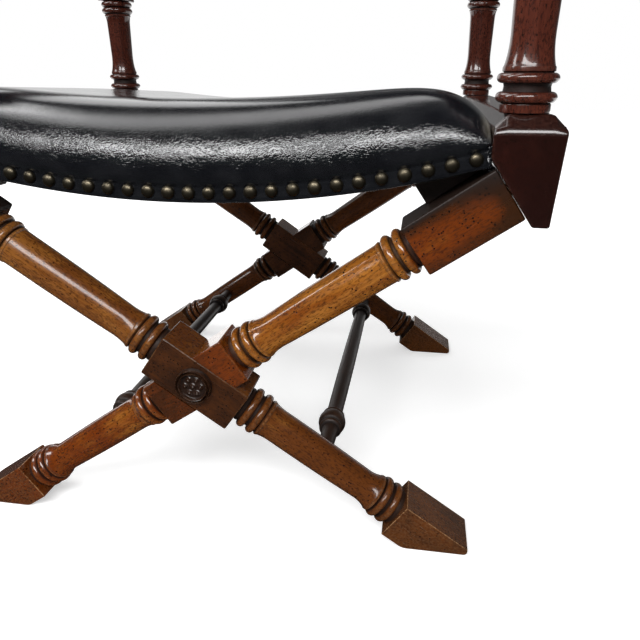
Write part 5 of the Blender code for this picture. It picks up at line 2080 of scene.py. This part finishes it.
@dataclass
class Studio:
    """The plain pale floor, the soft lights and the camera."""

    camera_at: Place = (0.2149, -0.801, 0.4772)
    camera_tilt: float = math.radians(67.87)
    camera_turn: float = math.radians(9.12)
    lens: float = 33.75
    sensor: float = 36.0
    clip: float = 0.01
    floor_half: float = 9.0
    floor_z: float = -0.0006
    floor_colour: Colour = (0.80, 0.80, 0.80)
    flag_near: float = 0.45
    flag_z: float = 0.001
    flag_colour: Colour = (0.025, 0.025, 0.025)
    white: Colour = (1.0, 1.0, 1.0)
    fill: float = 0.30
    dimmest: float = 0.03

    def build(self) -> None:
        """Build the studio."""
        self.build_camera()
        self.build_floor()
        self.build_flag()
        self.build_world()
        for lamp in LAMPS:
            lamp.build()
        bpy.context.scene.view_settings.view_transform = 'Standard'

    def build_camera(self) -> None:
        """Build the camera at the photo's viewing angle."""
        data = bpy.data.cameras.new("camera")
        data.lens = self.lens
        data.sensor_width = self.sensor
        data.clip_start = self.clip
        camera = linked("camera", data)
        camera.location = self.camera_at
        camera.rotation_euler = (self.camera_tilt, 0.0, self.camera_turn)
        bpy.context.scene.camera = camera

    def card(self, name: str, near: float, z: float, material: Material) -> Object:
        """Return a level card, as wide as the floor.

        Args:
            name: the card's name.
            near: the Y where it ends at the rear.
            z: its height.
            material: its finish.

        Returns:
            The linked card.
        """
        half = self.floor_half
        mesh = bpy.data.meshes.new(name)
        mesh.from_pydata([(-half, -half, 0), (half, -half, 0), (half, near, 0), (-half, near, 0)], [],
                         [(0, 1, 2, 3)])
        mesh.materials.append(material)
        made = linked(name, mesh)
        made.location = (0.0, 0.0, z)
        return made

    def build_floor(self) -> None:
        """Build the floor, which is white to the camera and keeps the chair's shadow."""
        made, g, shader = blank_material("pale_floor")
        # It glows on the rays that show it: straight, mirrored or through glass.
        path = g.node("ShaderNodeLightPath").outputs
        mirrored = g.math('MAXIMUM', path["Is Glossy Ray"], path["Is Transmission Ray"])
        seen = g.math('MAXIMUM', path["Is Camera Ray"], mirrored)
        away = g.vector('LENGTH', g.place(), output="Value")
        glow = g.times(seen, g.remap(away, 0.7, 2.0, 0.52, 1.0))
        g.fill(shader, {"Base Color": self.floor_colour, "Roughness": 0.9, "Specular IOR Level": 0.0,
                        "Emission Color": self.white, "Emission Strength": glow})
        floor = self.card("floor", self.floor_half, self.floor_z, made)

    def build_flag(self) -> None:
        """Build the dark flag in front of the chair, which only keeps glare off polished faces."""
        made, g, shader = blank_material("flag_felt")
        g.fill(shader, {"Base Color": self.flag_colour, "Roughness": 1.0, "Specular IOR Level": 0.0})
        flag = self.card("flag", self.flag_near, self.flag_z, made)
        flag.visible_camera = False
        flag.visible_diffuse = False
        flag.visible_shadow = False

    def build_world(self) -> None:
        """Build the background: white where it is seen, and a dimmer fill on the chair."""
        world = bpy.data.worlds.new("studio")
        world.use_nodes = True
        bpy.context.scene.world = world
        g = Graph(world.node_tree)
        path = g.node("ShaderNodeLightPath").outputs
        way = g.node("ShaderNodeTexCoord").outputs["Generated"]
        parts = g.node("ShaderNodeSeparateXYZ", {"Vector": way}).outputs
        # Mirrored, the backdrop is dim apart from its far left.
        lit = g.remap(parts["X"], -0.30, -0.08, 1.0, 0.15)
        backdrop = g.math('MULTIPLY_ADD', g.remap(parts["Y"], 0.60, 0.85), lit, self.dimmest)
        mirrored = g.times(path["Is Glossy Ray"], g.math('SUBTRACT', backdrop, self.fill))
        seen = g.math('MAXIMUM', path["Is Camera Ray"], path["Is Transmission Ray"])
        level = g.math('MAXIMUM', g.math('ADD', self.fill, mirrored), seen)
        g.fill(world.node_tree.nodes["Background"], {"Color": self.white, "Strength": level})


# The chair

LEG_WOOD = WoodFinish("leg_wood", light=(0.350, 0.134, 0.0170), mid=(0.128, 0.0240, 0.0012),
                      dark=(0.030, 0.0100, 0.0030), worn=(0.36, 0.19, 0.08), specks=1.0, coat=1.00,
                      relief=0.00015, shine=0.24)
BROWN_LEG_WOOD = WoodFinish("brown_leg_wood", light=(0.270, 0.104, 0.0180), mid=(0.106, 0.0300, 0.0052),
                            dark=(0.024, 0.0085, 0.0034), worn=(0.36, 0.20, 0.09), specks=0.8, coat=0.40,
                            relief=0.00012, shine=0.26)
RAIL_WOOD = WoodFinish("rail_wood", light=(0.078, 0.0185, 0.0100), mid=(0.042, 0.0088, 0.0050),
                       dark=(0.0120, 0.0030, 0.0021), worn=(0.13, 0.055, 0.038), specks=0.8, coat=0.80,
                       relief=0.0001, shine=0.25)
DARK_WOOD = WoodFinish("dark_wood", light=(0.042, 0.018, 0.0085), mid=(0.022, 0.0085, 0.0042),
                       dark=(0.008, 0.0036, 0.0024), worn=(0.16, 0.08, 0.04), specks=0.3)
TURNED_DARK_WOOD = WoodFinish("turned_dark_wood", light=(0.042, 0.020, 0.0105), mid=(0.022, 0.0095, 0.0052),
                              dark=(0.008, 0.0040, 0.0028), worn=(0.12, 0.06, 0.03), specks=0.3, coat=0.0,
                              dull=0.14, shine=0.40)
PALE_WOOD = WoodFinish("pale_wood", light=(0.60, 0.42, 0.24), mid=(0.48, 0.31, 0.16), dark=(0.30, 0.18, 0.09),
                       worn=(0.65, 0.48, 0.30), specks=0.0, coat=0.0)
SCREW_STEEL = MetalFinish("screw_steel", bright=(0.50, 0.50, 0.51), dull=(0.30, 0.29, 0.28))
AGED_BRASS = MetalFinish("aged_brass", bright=(0.115, 0.098, 0.068), dull=(0.040, 0.035, 0.026))
BLACK_LEATHER = LeatherFinish("black_leather", relief=0.00023)
LINING_CLOTH = LiningFinish("lining_cloth")


class Chair:
    """The whole chair: its finishes, its sub-assemblies and the solids that are carried over."""

    inner_frame = ("seat_front_rail", "seat_rear_rail", "seat_left_side", "seat_right_side", "seat_deck",
                   "back_board")

    def __init__(self, nodes: dict[str, Object]) -> None:
        """Make the finishes.

        Args:
            nodes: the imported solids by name.
        """
        self.nodes = nodes
        self.effects = Effects()
        finishes = {Slot.LEG_WOOD: LEG_WOOD, Slot.RAIL_WOOD: RAIL_WOOD, Slot.DARK_WOOD: DARK_WOOD,
                    Slot.BRASS: AGED_BRASS, Slot.LEATHER: BLACK_LEATHER}
        self.finishes = {slot: finish.material(self.effects) for slot, finish in finishes.items()}
        self.finishes[Slot.BLACK_CLOTH] = LINING_CLOTH.material()
        self.browner = {**self.finishes, Slot.LEG_WOOD: BROWN_LEG_WOOD.material(self.effects)}
        self.duller = {**self.finishes, Slot.DARK_WOOD: TURNED_DARK_WOOD.material(self.effects)}

    def dress_carried(self) -> None:
        """Give the solids that stay their materials: the inner frame, the dowels and the screws."""
        wood = [name for name in self.nodes if name.endswith("_dowel") or name in self.inner_frame]
        steel = [name for name in self.nodes if name.endswith("_screw")]
        for names, finish in ((wood, PALE_WOOD), (steel, SCREW_STEEL)):
            material = finish.material(self.effects, carried=True)
            for name in names:
                mesh = self.nodes[name].data
                mesh.materials.clear()
                mesh.materials.append(material)
                LOG.info("dressed %s", name)

    def build(self) -> None:
        """Build every sub-assembly; the stuffed covers come first, while little else is there."""
        for part in (Seat(self.duller), Back(self.finishes), XFrames(self.finishes, self.browner),
                     Stretchers(self.duller), SideRails(self.finishes), Posts(self.finishes),
                     Armrests(self.finishes)):
            part.build()
        self.dress_carried()


def main() -> None:
    """Load the frame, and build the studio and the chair."""
    logging.basicConfig(level=logging.INFO, format="%(name)s: %(message)s")
    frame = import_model()
    Studio().build()
    Chair(frame["nodes"]).build()
    bpy.context.view_layer.update()


if __name__ == "__main__":
    main()
